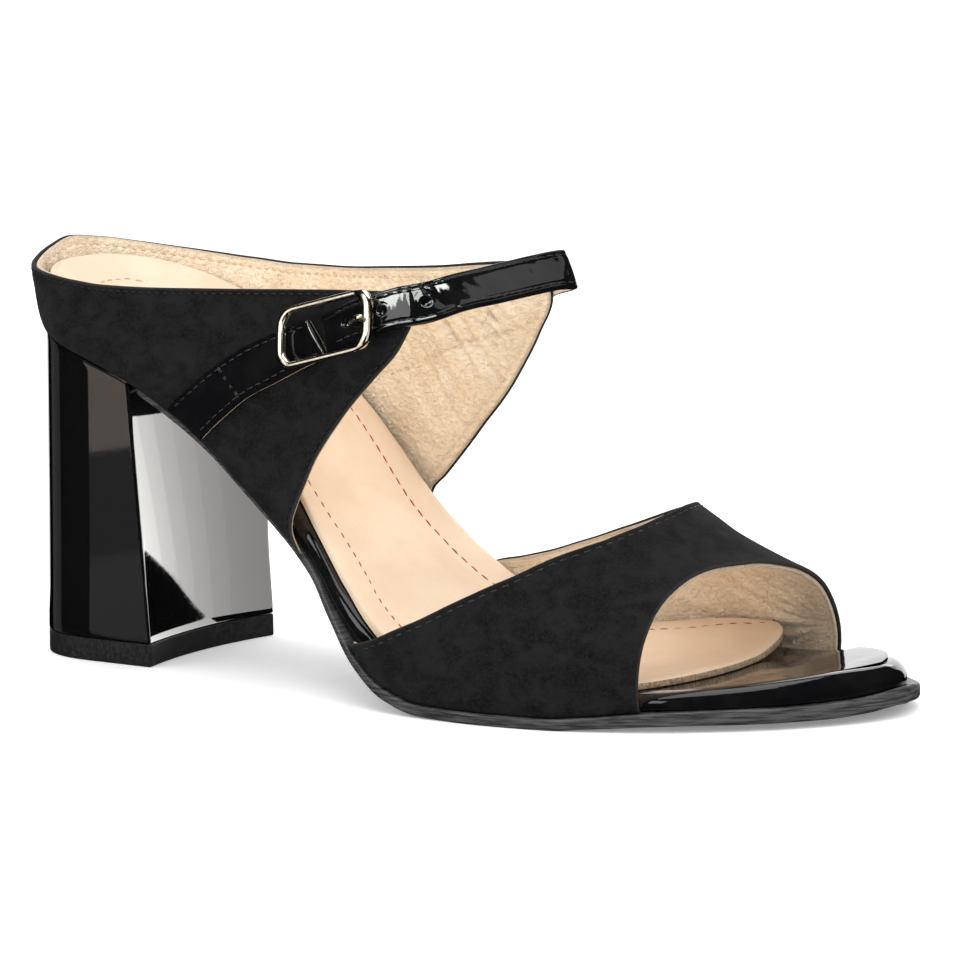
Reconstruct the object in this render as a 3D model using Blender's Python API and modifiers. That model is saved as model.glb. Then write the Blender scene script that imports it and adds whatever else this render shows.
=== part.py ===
"""Open-toe mule sandal on a block heel, right foot.

Lengths in the tables are millimetres.  Shoe co-ordinates: s runs forward from
the heel, m runs to the inner (medial) side, z is the height over the floor.
In the scene the toe points to -Y, the inner side to +X, up is +Z.
"""
import bpy
import bmesh
import numpy as np
from mathutils import Vector

MM = 0.001

# ---- driving dimensions (mm) -------------------------------------------------
HEEL_BACK = 8.0        # s of the feather line at the back of the heel seat
HEEL_ROUND = 32.0      # s where the rounded heel end meets the straight sides
HEEL_EXPONENT = 2.3    # roundness of the heel end
HEEL_AXIS = 0.5        # m of the heel seat's middle
TOE_TIP = 217.0        # s of the feather line's front
CENTRE_S = 110.75      # s of the middle of the bounding box
CENTRE_M = -0.60       # m of the middle of the bounding box
GAP = 0.3              # clearance between neighbouring pieces
SOLE_GAP = 0.4         # clearance between the layers of the sole
UPPER_WALL = 2.2       # suede and lining of the quarter
VAMP_WALL = 2.0        # suede and lining of the vamp
OUTSOLE = [            # thickness of the outsole, and the bevel under its waist
    dict(s=40, t=2.1, bevel=3.0), dict(s=86, t=2.1, bevel=3.4), dict(s=95, t=2.1, bevel=2.6),
    dict(s=105, t=2.1, bevel=0.9), dict(s=116, t=2.1, bevel=0.1), dict(s=125, t=2.1, bevel=0.0),
    dict(s=172, t=2.2, bevel=0.0), dict(s=182, t=2.5, bevel=0.0), dict(s=195, t=2.7, bevel=0.0),
    dict(s=210, t=2.9, bevel=0.0), dict(s=217, t=3.3, bevel=0.0),
]
OUTSOLE_LIP = 0.8      # how far the outsole stands out of the feather line
TOP_PIECE = 5.1        # rubber under the heel
STRAP_WIDTH = 9.0
STRAP_THICK = 2.0
WIRE = 1.9             # buckle wire diameter
PRONG = 1.3            # prong diameter
BUCKLE_LENGTH = 22.9   # centre line of the wire, along the strap
BUCKLE_WIDTH = 12.4    # centre line of the wire, across the strap
BUCKLE_CORNER = 3.3
BUCKLE_TILT = -0.173    # radians, turned in its own plane

# feather line: height and half outlines of the upper at the sole, by station
FEATHER = [
    dict(s=32, zf=67.4, lat=-25.3, med=26.3),
    dict(s=44, zf=62.9, lat=-25.9, med=27.0),
    dict(s=55, zf=57.3, lat=-26.0, med=26.0),
    dict(s=65, zf=50.9, lat=-26.1, med=24.9),
    dict(s=75, zf=43.0, lat=-26.4, med=23.4),
    dict(s=85, zf=35.0, lat=-26.9, med=22.6),
    dict(s=95, zf=27.2, lat=-28.6, med=22.2),
    dict(s=105, zf=19.0, lat=-33.1, med=22.7),
    dict(s=115, zf=10.4, lat=-37.4, med=24.6),
    dict(s=125, zf=5.0, lat=-40.5, med=27.6),
    dict(s=135, zf=2.8, lat=-41.8, med=31.0),
    dict(s=147, zf=2.5, lat=-41.9, med=36.0),
    dict(s=155, zf=2.5, lat=-41.1, med=38.4),
    dict(s=165, zf=2.5, lat=-39.2, med=40.2),
    dict(s=172, zf=3.0, lat=-36.6, med=40.6),
    dict(s=185, zf=4.1, lat=-29.8, med=39.3),
    dict(s=195, zf=4.4, lat=-22.4, med=36.6),
    dict(s=203, zf=4.5, lat=-14.5, med=32.8),
    dict(s=210, zf=4.7, lat=-5.0, med=27.0),
    dict(s=214.5, zf=5.4, lat=3.0, med=20.8),
    dict(s=217, zf=6.3, lat=12.0, med=12.0),
]
HEEL_SEAT = [dict(s=6, zf=76.3), dict(s=12, zf=74.0), dict(s=20, zf=71.3)]

# platform: thickness, and how far its side stands in from the feather line
PLATFORM = [
    dict(s=0, t=10.3, lat=3.0, med=3.0),
    dict(s=60, t=10.3, lat=3.0, med=3.0),
    dict(s=76, t=10.6, lat=3.0, med=3.0),
    dict(s=85, t=9.2, lat=3.0, med=3.0),
    dict(s=91, t=6.8, lat=2.9, med=2.7),
    dict(s=95, t=5.6, lat=2.6, med=2.3),
    dict(s=100, t=5.0, lat=2.1, med=2.3),
    dict(s=105, t=5.0, lat=1.8, med=2.7),
    dict(s=109, t=5.6, lat=2.1, med=3.0),
    dict(s=114, t=6.1, lat=2.8, med=3.0),
    dict(s=119, t=6.2, lat=3.0, med=3.0),
    dict(s=127, t=5.9, lat=3.0, med=3.0),
    dict(s=135, t=5.5, lat=3.0, med=3.0),
    dict(s=147, t=4.9, lat=3.0, med=3.0),
    dict(s=165, t=4.8, lat=3.0, med=3.0),
    dict(s=172, t=4.3, lat=3.0, med=3.0),
    dict(s=180.5, t=3.7, lat=3.0, med=3.0),
    dict(s=184.5, t=3.7, lat=1.5, med=3.0),
    dict(s=187.5, t=3.8, lat=1.2, med=2.2),
    dict(s=195, t=4.2, lat=1.2, med=1.2),
    dict(s=203, t=4.9, lat=1.2, med=1.2),
    dict(s=210, t=5.4, lat=1.2, med=1.2),
    dict(s=217, t=4.7, lat=1.2, med=1.2),
]
# sock: inset of its two sides, and its thickness
SOCK = [
    dict(s=0, lat=1.1, med=1.1, t=2.5),
    dict(s=50, lat=1.5, med=2.0, t=2.5),
    dict(s=66, lat=1.8, med=3.5, t=2.5),
    dict(s=76, lat=3.4, med=3.8, t=2.5),
    dict(s=88, lat=5.3, med=2.8, t=2.5),
    dict(s=97, lat=4.4, med=2.0, t=2.5),
    dict(s=106, lat=4.4, med=2.1, t=2.5),
    dict(s=114, lat=4.1, med=2.2, t=2.5),
    dict(s=125, lat=3.8, med=2.8, t=2.5),
    dict(s=142, lat=3.6, med=3.4, t=2.5),
    dict(s=168, lat=3.6, med=3.6, t=1.5),
    dict(s=217, lat=3.6, med=3.6, t=1.5),
]
# front edge of the sock, by side position c (-1 outer, +1 inner)
SOCK_FRONT = [
    dict(c=-1.0, s=175.5), dict(c=-0.9, s=178.3), dict(c=-0.8, s=180.8),
    dict(c=-0.65, s=182.5), dict(c=-0.45, s=183.4), dict(c=-0.2, s=183.6),
    dict(c=0.0, s=183.0), dict(c=0.2, s=181.9), dict(c=0.43, s=180.3),
    dict(c=0.6, s=179.2), dict(c=0.78, s=177.3), dict(c=0.9, s=175.0),
    dict(c=1.0, s=171.5),
]
# quarter wall: inward lean per height squared, and the swell over the feather
WALL = [
    dict(s=0, lean_lat=-6.0, lean_med=-6.0, swell=2.1),
    dict(s=12, lean_lat=-4.0, lean_med=-4.0, swell=2.1),
    dict(s=36, lean_lat=0.6, lean_med=0.6, swell=2.0),
    dict(s=60, lean_lat=1.6, lean_med=1.2, swell=1.4),
    dict(s=88, lean_lat=2.7, lean_med=1.6, swell=1.1),
    dict(s=112, lean_lat=3.7, lean_med=1.5, swell=1.0),
    dict(s=130, lean_lat=4.6, lean_med=1.5, swell=1.0),
]
# quarter edges by arc length a from the back centre (outer side negative)
TOPLINE = [
    dict(a=-121.4, z=84.3), dict(a=-115.2, z=84.9), dict(a=-96.7, z=84.5),
    dict(a=-73.6, z=84.1), dict(a=-58.6, z=83.9), dict(a=-46.7, z=84.1),
    dict(a=-38.9, z=84.8), dict(a=-31, z=85.9), dict(a=-23, z=87.0),
    dict(a=-15.4, z=88.3), dict(a=-7.7, z=90.4), dict(a=0, z=92.2),
    dict(a=9.1, z=91.4), dict(a=17.8, z=89.9), dict(a=25.9, z=88.5),
    dict(a=34.7, z=87.4), dict(a=45.8, z=86.5), dict(a=57.9, z=85.7),
    dict(a=71.8, z=85.7), dict(a=93.8, z=86.7), dict(a=105.8, z=87.4),
    dict(a=122.3, z=88.9), dict(a=129.9, z=89.2), dict(a=133.9, z=88.0),
]
OUTER_FRONT = [
    dict(v=0.0, a=-101.6, h=0.0), dict(v=0.02, a=-100.2, h=1.3),
    dict(v=0.045, a=-99.5, h=3.0), dict(v=0.08, a=-99.8, h=5.4),
    dict(v=0.14, a=-101.2, h=9.6), dict(v=0.24, a=-103.7, h=16.4),
    dict(v=0.34, a=-106.2, h=23.4), dict(v=0.56, a=-113.4, h=38.6),
    dict(v=0.75, a=-119.7, h=52.4), dict(v=0.88, a=-123.3, h=61.7),
    dict(v=0.95, a=-123.8, h=66.7), dict(v=1.0, a=-121.4, h=70.4),
]
INNER_FRONT = [
    dict(v=0.0, a=97.8, h=0.0), dict(v=0.08, a=99.3, h=6.4),
    dict(v=0.16, a=102.9, h=12.6), dict(v=0.38, a=113.0, h=31.3),
    dict(v=0.61, a=122.5, h=50.5), dict(v=0.80, a=129.3, h=66.0),
    dict(v=0.92, a=132.7, h=75.7), dict(v=1.0, a=130.3, h=82.0),
]
# vamp: crest of the last and fullness of the section on each side
CREST = [
    dict(s=100, zr=93.0, mr=1.0, nl=1.90, nm=2.00),
    dict(s=115, zr=82.0, mr=2.0, nl=1.85, nm=2.00),
    dict(s=135, zr=65.9, mr=4.5, nl=1.80, nm=1.96),
    dict(s=150, zr=54.3, mr=4.5, nl=1.81, nm=1.88),
    dict(s=162, zr=45.3, mr=3.7, nl=1.81, nm=1.80),
    dict(s=172, zr=38.6, mr=3.6, nl=1.95, nm=1.79),
    dict(s=179, zr=34.4, mr=3.4, nl=2.30, nm=1.94),
    dict(s=185, zr=31.5, mr=3.6, nl=2.70, nm=2.05),
    dict(s=191, zr=29.2, mr=4.2, nl=2.80, nm=2.07),
]
VAMP_REAR = [
    dict(p=-1.0, s=111.8), dict(p=-0.916, s=120.7), dict(p=-0.85, s=128.0),
    dict(p=-0.769, s=137.6), dict(p=-0.69, s=145.8), dict(p=-0.608, s=152.6),
    dict(p=-0.515, s=158.0), dict(p=-0.43, s=162.3), dict(p=-0.35, s=165.5),
    dict(p=-0.2, s=168.7), dict(p=-0.085, s=169.3), dict(p=0.0, s=168.9),
    dict(p=0.1, s=167.9), dict(p=0.25, s=164.6), dict(p=0.4, s=158.6),
    dict(p=0.515, s=151.7), dict(p=0.645, s=141.3), dict(p=0.733, s=131.9),
    dict(p=0.814, s=122.4), dict(p=0.949, s=107.4), dict(p=1.0, s=103.5),
]
VAMP_FRONT = [
    dict(p=-1.0, s=182.2), dict(p=-0.8, s=182.1), dict(p=-0.6, s=182.4),
    dict(p=-0.38, s=183.6), dict(p=-0.164, s=185.1), dict(p=0.0, s=187.0),
    dict(p=0.2, s=189.0), dict(p=0.4, s=188.9), dict(p=0.62, s=187.6),
    dict(p=0.8, s=186.6), dict(p=1.0, s=185.3),
]
# heel block: outline at the top (under the seat) and at the top-piece
HEEL = [
    dict(w=0.0, back=6.2, front_lat=47.9, front_med=42.9, lat=-24.3, med=25.0, hollow=2.9),
    dict(w=0.35, back=6.8, front_lat=46.5, front_med=42.3, lat=-24.5, med=24.5, hollow=2.7),
    dict(w=1.0, back=8.2, front_lat=43.8, front_med=42.6, lat=-25.1, med=25.6, hollow=2.6),
]
# strap and tab on the quarter, as seen from the side
TAB = [
    dict(u=0.0, ta=-65.8, th=2.4, ba=-75.3, bh=2.7),
    dict(u=0.2, ta=-72.8, th=12.1, ba=-82.0, bh=13.2),
    dict(u=0.45, ta=-80.9, th=24.0, ba=-87.7, bh=21.9),
    dict(u=0.7, ta=-88.1, th=33.8, ba=-95.1, bh=31.4),
    dict(u=1.0, ta=-100.6, th=48.7, ba=-106.7, bh=46.2),
]
STRAP_OUTER = [dict(u=0.0, s=98.9, z=74.9), dict(u=0.5, s=107.8, z=78.55), dict(u=1.0, s=116.6, z=81.12)]
SPAN = [
    dict(s=119.2, m=-22.3, z=82.12, ws=0.38, wm=-0.24, wz=-0.89),
    dict(s=120.9, m=-20.3, z=82.50, ws=0.47, wm=-0.12, wz=-0.87),
    dict(s=121.6, m=-17.7, z=82.90, ws=0.58, wm=-0.02, wz=-0.81),
    dict(s=121.8, m=-14.6, z=83.30, ws=0.65, wm=0.03, wz=-0.76),
    dict(s=122.0, m=-11.0, z=83.80, ws=0.66, wm=0.00, wz=-0.75),
    dict(s=122.8, m=-6.0, z=84.4, ws=0.53, wm=-0.39, wz=-0.75),
    dict(s=123.9, m=-1.0, z=84.9, ws=0.51, wm=-0.36, wz=-0.78),
    dict(s=125.0, m=4.0, z=85.5, ws=0.50, wm=-0.34, wz=-0.80),
    dict(s=126.1, m=9.0, z=86.1, ws=0.49, wm=-0.32, wz=-0.81),
    dict(s=127.0, m=13.5, z=86.6, ws=0.48, wm=-0.30, wz=-0.82),
    dict(s=128.1, m=17.0, z=87.0, ws=0.46, wm=-0.24, wz=-0.86),
    dict(s=128.8, m=19.2, z=87.1, ws=0.43, wm=-0.14, wz=-0.89),
    dict(s=128.8, m=21.0, z=87.0, ws=0.39, wm=0.02, wz=-0.92),
    dict(s=127.8, m=22.2, z=86.7, ws=0.35, wm=0.12, wz=-0.93),
]
# prong, from its tip to the bar: x from the bar, c across the strap, h off it
PRONG_LINE = [
    dict(x=-5.0, c=0.40, h=1.10), dict(x=-4.0, c=0.27, h=1.35), dict(x=-2.8, c=0.10, h=2.05),
    dict(x=-1.6, c=-0.05, h=3.20), dict(x=-0.5, c=-0.20, h=3.80), dict(x=0.7, c=-0.30, h=3.80),
]
STRAP_INNER = [dict(u=0.0, s=124.6, z=85.2), dict(u=0.5, s=97.0, z=69.6), dict(u=1.0, s=64.5, z=54.4)]


# ---- shoe geometry ------------------------------------------------------------
def curve(table, x_column, y_column):
    """Monotone cubic through two columns of a table."""
    x = np.array([row[x_column] for row in table], float)
    y = np.array([row[y_column] for row in table], float)
    h = np.diff(x)
    d = np.diff(y) / h
    k = np.zeros_like(x)
    k[0], k[-1] = d[0], d[-1]
    for i in range(1, len(x) - 1):
        if d[i - 1] * d[i] > 0:
            w1, w2 = 2 * h[i] + h[i - 1], h[i] + 2 * h[i - 1]
            k[i] = (w1 + w2) / (w1 / d[i - 1] + w2 / d[i])

    def value(q):
        q = np.asarray(q, float)
        i = np.clip(np.searchsorted(x, q) - 1, 0, len(h) - 1)
        t = np.clip((q - x[i]) / h[i], 0, 1)
        return ((1 + 2 * t) * (1 - t) ** 2 * y[i] + t * (1 - t) ** 2 * h[i] * k[i]
                + t * t * (3 - 2 * t) * y[i + 1] + t * t * (t - 1) * h[i] * k[i + 1])
    return value


feather_z = curve([dict(s=r["s"], zf=r["zf"]) for r in HEEL_SEAT]
                  + [dict(s=r["s"], zf=r["zf"]) for r in FEATHER], "s", "zf")
side_lat = curve(FEATHER, "s", "lat")
side_med = curve(FEATHER, "s", "med")
platform_t = curve(PLATFORM, "s", "t")
platform_lat = curve(PLATFORM, "s", "lat")
platform_med = curve(PLATFORM, "s", "med")
outsole_t = curve(OUTSOLE, "s", "t")
outsole_bevel = curve(OUTSOLE, "s", "bevel")
sock_lat = curve(SOCK, "s", "lat")
sock_med = curve(SOCK, "s", "med")
sock_t = curve(SOCK, "s", "t")
sock_front = curve(SOCK_FRONT, "c", "s")
lean_lat = curve(WALL, "s", "lean_lat")
lean_med = curve(WALL, "s", "lean_med")
swell = curve(WALL, "s", "swell")
topline = curve(TOPLINE, "a", "z")
crest_z = curve(CREST, "s", "zr")
crest_m = curve(CREST, "s", "mr")
full_lat = curve(CREST, "s", "nl")
full_med = curve(CREST, "s", "nm")
vamp_rear = curve(VAMP_REAR, "p", "s")
vamp_front = curve(VAMP_FRONT, "p", "s")


def outline(s, inset=0.0, side=-1):
    """m of the feather line at s, moved in by inset, rounded at the heel."""
    s = np.asarray(s, float)
    full = side_lat if side < 0 else side_med
    back = HEEL_BACK + inset
    edge = full(np.maximum(s, HEEL_ROUND)) - side * inset
    t = np.clip((HEEL_ROUND - s) / (HEEL_ROUND - back), 0, 1)
    return np.where(s < HEEL_ROUND,
                    HEEL_AXIS + (edge - HEEL_AXIS) * (1 - t ** HEEL_EXPONENT) ** (1 / HEEL_EXPONENT),
                    edge)


def feather_path():
    """Plan of the feather line from the outer waist round the heel to the inner waist."""
    q = np.linspace(0, np.pi / 2, 160)
    s_round = HEEL_ROUND - (HEEL_ROUND - HEEL_BACK) * np.cos(q) ** (2 / HEEL_EXPONENT)
    m_round = np.sin(q) ** (2 / HEEL_EXPONENT)
    s_side = np.linspace(HEEL_ROUND, 150, 400)[1:]
    halves = []
    for full in (side_lat, side_med):
        m_heel = HEEL_AXIS + (full(HEEL_ROUND) - HEEL_AXIS) * m_round
        halves.append(np.vstack([np.stack([s_round, m_heel], -1),
                                 np.stack([s_side, full(s_side)], -1)]))
    path = np.vstack([halves[0][::-1], halves[1][1:]])
    arc = np.concatenate([[0], np.cumsum(np.hypot(*np.diff(path, axis=0).T))])
    return path, arc - arc[len(halves[0]) - 1]


PATH, ARC = feather_path()


def on_path(a, step=2.5):
    """Point of the feather line at arc length a, and its outward normal in plan."""
    s = np.interp(a, ARC, PATH[:, 0])
    m = np.interp(a, ARC, PATH[:, 1])
    ds = np.interp(a + step, ARC, PATH[:, 0]) - np.interp(a - step, ARC, PATH[:, 0])
    dm = np.interp(a + step, ARC, PATH[:, 1]) - np.interp(a - step, ARC, PATH[:, 1])
    length = np.hypot(ds, dm)
    return s, m, -dm / length, ds / length


def wall(a, h):
    """Outer surface of the quarter at arc length a and height h over the feather line."""
    s, m, ns, nm = on_path(a)
    lean = np.where(a < 0, lean_lat(s), lean_med(s))
    out = swell(s) * (1 - np.exp(-np.maximum(h, 0) / 4.0)) - lean * h * h / 1000.0
    return np.stack([s + ns * out, m + nm * out, feather_z(s) + h], -1)


def wall_frame(a, h):
    """Point and outward unit normal of the quarter's outer surface."""
    da = wall(a + 0.5, h) - wall(a - 0.5, h)
    dh = wall(a, h + 0.5) - wall(a, h - 0.5)
    n = np.cross(da, dh)
    n /= np.linalg.norm(n, axis=-1, keepdims=True)
    return wall(a, h), n * np.sign(n[..., 1:2] * np.sign(np.asarray(a))[..., None])


def wall_at(s, z, side, lift):
    """Point over the quarter whose side view is (s, z), lifted along the normal."""
    s, z = np.asarray(s, float), np.asarray(z, float)
    a = np.interp(s, PATH[ARC * side > 0][:, 0][::side], (ARC[ARC * side > 0])[::side])
    for _ in range(12):
        h = z - feather_z(on_path(a)[0])
        point, normal = wall_frame(a, h)
        a = a + side * (s - point[..., 0])
    return point + normal * np.asarray(lift)[..., None], normal


def vamp_surface(s, p):
    """Outer surface of the vamp: p is -1 at the outer feather, 0 on the crest, +1 inside."""
    angle = np.abs(p) * np.pi / 2
    n = np.where(p < 0, full_lat(s), full_med(s))
    edge = np.where(p < 0, side_lat(s), side_med(s))
    across = np.sin(angle) ** (2 / n)
    h = np.maximum(np.cos(angle), 0) ** (2 / n) * (crest_z(s) - feather_z(s))
    bulge = 1.5 * (1 - np.exp(-h / 4.0)) * np.exp(-h / 18.0)
    m = crest_m(s) + (edge - crest_m(s)) * across + np.sign(p) * bulge * across
    return np.stack([s + 0 * m, m, feather_z(s) + h], -1)


def to_scene(points):
    points = np.asarray(points, float)
    return np.stack([points[..., 1] - CENTRE_M, CENTRE_S - points[..., 0], points[..., 2]], -1) * MM


# ---- making objects -----------------------------------------------------------
def clear_scene():
    for obj in list(bpy.data.objects):
        bpy.data.objects.remove(obj, do_unlink=True)


def material(name, colour, roughness, metallic=0.0, coat=0.0):
    mat = bpy.data.materials.new(name)
    mat.use_nodes = True
    shader = mat.node_tree.nodes["Principled BSDF"]
    shader.inputs["Base Color"].default_value = (*colour, 1.0)
    shader.inputs["Roughness"].default_value = roughness
    shader.inputs["Metallic"].default_value = metallic
    shader.inputs["Coat Weight"].default_value = coat
    mat.diffuse_color = (*colour, 1.0)
    return mat


def add_object(name, mesh, mat, home):
    obj = bpy.data.objects.new(name, mesh)
    mesh.materials.append(mat)
    home.objects.link(obj)
    return obj


def block(name, cuts_u, cuts_c, cuts_w, shape, mat, home):
    """A cube sliced at the given levels (0..1 on each axis) and shaped by a function."""
    bm = bmesh.new()
    bmesh.ops.create_cube(bm, size=1.0)
    bmesh.ops.translate(bm, verts=bm.verts, vec=(0.5, 0.5, 0.5))
    for axis, cuts in enumerate((cuts_u, cuts_c, cuts_w)):
        normal = [0.0, 0.0, 0.0]
        normal[axis] = 1.0
        for level in cuts[1:-1]:
            place = [0.0, 0.0, 0.0]
            place[axis] = float(level)
            bmesh.ops.bisect_plane(bm, geom=bm.verts[:] + bm.edges[:] + bm.faces[:],
                                   dist=1e-7, plane_co=place, plane_no=normal)
    grid = np.array([v.co for v in bm.verts])
    for vert, co in zip(bm.verts, to_scene(shape(grid[:, 0], grid[:, 1], grid[:, 2]))):
        vert.co = co
    bmesh.ops.recalc_face_normals(bm, faces=bm.faces)
    bm.normal_update()
    if bm.calc_volume(signed=True) < 0:
        bmesh.ops.reverse_faces(bm, faces=bm.faces)
    mesh = bpy.data.meshes.new(name)
    bm.to_mesh(mesh)
    bm.free()
    mesh.shade_smooth()
    mesh.set_sharp_from_angle(angle=np.radians(35))
    return add_object(name, mesh, mat, home)


def shell(name, nu, nv, shape, thickness, mat, home, probe):
    """An open grid shaped by a function, thickened inwards; probe is a point inside."""
    bm = bmesh.new()
    bmesh.ops.create_grid(bm, x_segments=nu, y_segments=nv, size=0.5)
    grid = np.array([v.co for v in bm.verts]) + 0.5
    for vert, co in zip(bm.verts, to_scene(shape(grid[:, 0], grid[:, 1]))):
        vert.co = co
    bm.normal_update()
    inside = Vector(to_scene(probe))
    votes = sum(1 if f.normal.dot(f.calc_center_median() - inside) > 0 else -1 for f in bm.faces)
    if votes < 0:
        bmesh.ops.reverse_faces(bm, faces=bm.faces)
    mesh = bpy.data.meshes.new(name)
    bm.to_mesh(mesh)
    bm.free()
    mesh.shade_smooth()
    obj = add_object(name, mesh, mat, home)
    solid = obj.modifiers.new("Wall", "SOLIDIFY")
    solid.thickness = thickness * MM
    solid.offset = -1.0
    solid.use_even_offset = True
    solid.use_rim = True
    return obj


def wire(name, points, radius, cyclic, mat, home):
    data = bpy.data.curves.new(name, "CURVE")
    data.dimensions = "3D"
    spline = data.splines.new("POLY")
    spline.points.add(len(points) - 1)
    for p, co in zip(spline.points, to_scene(points)):
        p.co = (*co, 1.0)
    spline.use_cyclic_u = cyclic
    data.bevel_depth = radius * MM
    data.bevel_resolution = 2
    data.use_fill_caps = True
    data.materials.append(mat)
    obj = bpy.data.objects.new(name, data)
    home.objects.link(obj)
    return obj


def eased(n, power=1.0):
    """Levels 0..1 that crowd towards 0."""
    return 1 - np.cos(np.linspace(0, np.pi / 2, n)) ** power


# ---- pieces -------------------------------------------------------------------
def sole_levels(start, n_heel, n_mid, n_toe, end=TOE_TIP, round_back=True):
    """Levels along a sole: crowded at a rounded heel and at the toe tip."""
    toe_from = end - 22.0
    parts = []
    if round_back:
        parts.append(start + (HEEL_ROUND - start) * (1 - np.cos(np.linspace(0, np.pi / 2, n_heel))))
        parts.append(np.linspace(HEEL_ROUND, toe_from, n_mid)[1:])
    else:
        parts.append(np.linspace(start, toe_from, n_mid))
    parts.append(toe_from + 22.0 * np.sin(np.linspace(0, np.pi / 2, n_toe))[1:])
    s = np.concatenate(parts)
    return (s - start) / (end - start)


def heel_breast(c):
    """s of the heel block's front at the seat, by side position."""
    top = HEEL[-1]
    return (top["front_lat"] + (top["front_med"] - top["front_lat"]) * (c + 1) / 2
            - top["hollow"] * (1 - c * c))


def toe_match(s, tip):
    """Station of the feather line that fits a sole ending at tip, and the fade of its inset."""
    start = TOE_TIP - 22.0
    near = np.where(s > start, start + (s - start) * 22.0 / (tip - start), s)
    return np.minimum(near, TOE_TIP), np.clip((tip - s) / 2.0, 0, 1) ** 0.5


def outsole_shape(u, v, w):
    c = 2 * v - 1
    start = heel_breast(c) + 0.9
    start = np.where(c < -0.99, start + 0.3, start)
    s = start + (TOE_TIP + OUTSOLE_LIP - start) * u
    near, fade = toe_match(s, TOE_TIP + OUTSOLE_LIP)
    tuck = np.interp(w, [0, 0.35, 1], [0.9, 0.0, 0.15])
    grow = (OUTSOLE_LIP * np.clip((s - 60) / 50, 0.2, 1.0) - tuck
            - outsole_bevel(near) * (1 - 0.75 * w))
    lat = outline(near, 0, -1) - grow * fade
    med = outline(near, 0, 1) + grow * fade
    middle, half = (lat + med) / 2, np.maximum((med - lat) / 2, 0.5)
    s = np.where(u > 0.999, s - 0.6 * tuck, s)
    z = feather_z(near)
    return np.stack([s, middle + half * c, z - SOLE_GAP - outsole_t(near) * (1 - w)], -1)


def midsole_shape(u, v, w):
    c = 2 * v - 1
    back = HEEL_BACK + 3.0
    front = TOE_TIP - 1.2
    s = back + (front - back) * u
    rim = np.interp(w, [0, 0.25, 0.75, 1], [0.5, 0.0, 0.0, 1.0])
    near, fade = toe_match(s, front)
    lat = outline(near, 0, -1) + (platform_lat(s) + rim) * fade
    med = outline(near, 0, 1) - (platform_med(s) + rim) * fade
    round_back = np.clip((HEEL_ROUND - s) / (HEEL_ROUND - back), 0, 1)
    g = (1 - round_back ** HEEL_EXPONENT) ** (1 / HEEL_EXPONENT)
    heel_lat = HEEL_AXIS + (side_lat(HEEL_ROUND) + 3.0 + rim - HEEL_AXIS) * g
    heel_med = HEEL_AXIS + (side_med(HEEL_ROUND) - 3.0 - rim - HEEL_AXIS) * g
    lat = np.where(s < HEEL_ROUND, heel_lat, lat)
    med = np.where(s < HEEL_ROUND, heel_med, med)
    middle, half = (lat + med) / 2, np.maximum((med - lat) / 2, 0.6)
    s = s + np.where(u < 0.001, rim, 0) - np.where(u > 0.999, rim, 0)
    z = feather_z(s) + platform_t(s) * w
    return np.stack([s, middle + half * c, z], -1)


def insole_shape(u, v, w):
    c = 2 * v - 1
    back = HEEL_BACK + 1.6
    front = sock_front(c)
    s = back + (front - back) * u
    rim = np.interp(w, [0, 0.4, 1], [0.0, 0.0, 0.7])
    lat = outline(s, 0, -1) + sock_lat(s) + rim
    med = outline(s, 0, 1) - sock_med(s) - rim
    t = np.clip((HEEL_ROUND - s) / (HEEL_ROUND - back), 0, 1)
    g = (1 - t ** HEEL_EXPONENT) ** (1 / HEEL_EXPONENT)
    heel_lat = HEEL_AXIS + (side_lat(HEEL_ROUND) + sock_lat(s) + rim - HEEL_AXIS) * g
    heel_med = HEEL_AXIS + (side_med(HEEL_ROUND) - sock_med(s) - rim - HEEL_AXIS) * g
    lat = np.where(s < HEEL_ROUND, heel_lat, lat)
    med = np.where(s < HEEL_ROUND, heel_med, med)
    middle, half = (lat + med) / 2, np.maximum((med - lat) / 2, 0.6)
    s = s + np.where(u < 0.001, rim, 0) - np.where(u > 0.999, rim, 0)
    z = feather_z(s) + platform_t(s) + SOLE_GAP + sock_t(s) * w
    return np.stack([s, middle + half * c, z], -1)


def heel_plan(u, v, level):
    c = 2 * v - 1
    mix = {k: curve(HEEL, "w", k)(level) for k in HEEL[0] if k != "w"}
    front = (mix["front_lat"] + (mix["front_med"] - mix["front_lat"]) * (c + 1) / 2
             - mix["hollow"] * (1 - c * c))
    s = mix["back"] + (front - mix["back"]) * u
    reach = 24.0
    t = np.clip(1 - (s - mix["back"]) / reach, 0, 1)
    g = np.maximum((1 - t ** HEEL_EXPONENT) ** (1 / HEEL_EXPONENT), 0.03)
    middle = (mix["lat"] + mix["med"]) / 2
    half = (mix["med"] - mix["lat"]) / 2
    lean_in = (middle - HEEL_AXIS) * t
    return s, middle - lean_in + half * g * c


def heel_shape(u, v, w):
    s, m = heel_plan(u, v, w)
    s_top, _ = heel_plan(u, v, np.ones_like(w))
    top = feather_z(s_top) - GAP
    low = TOP_PIECE + GAP
    return np.stack([s, m, low + (top - low) * w], -1)


def top_piece_shape(u, v, w):
    s, m = heel_plan(u, v, np.zeros_like(w))
    m = m + 0.6 * v * (1 - w) * u
    s = s + 0.4 * v * (1 - w) * u
    return np.stack([s, m, TOP_PIECE * w], -1)


def ease_deviation(table, v):
    a, h = curve(table, "v", "a")(v), curve(table, "v", "h")(v)
    first, last = table[0], table[-1]
    return (a - (first["a"] + (last["a"] - first["a"]) * v),
            h - (first["h"] + (last["h"] - first["h"]) * v))


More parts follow.
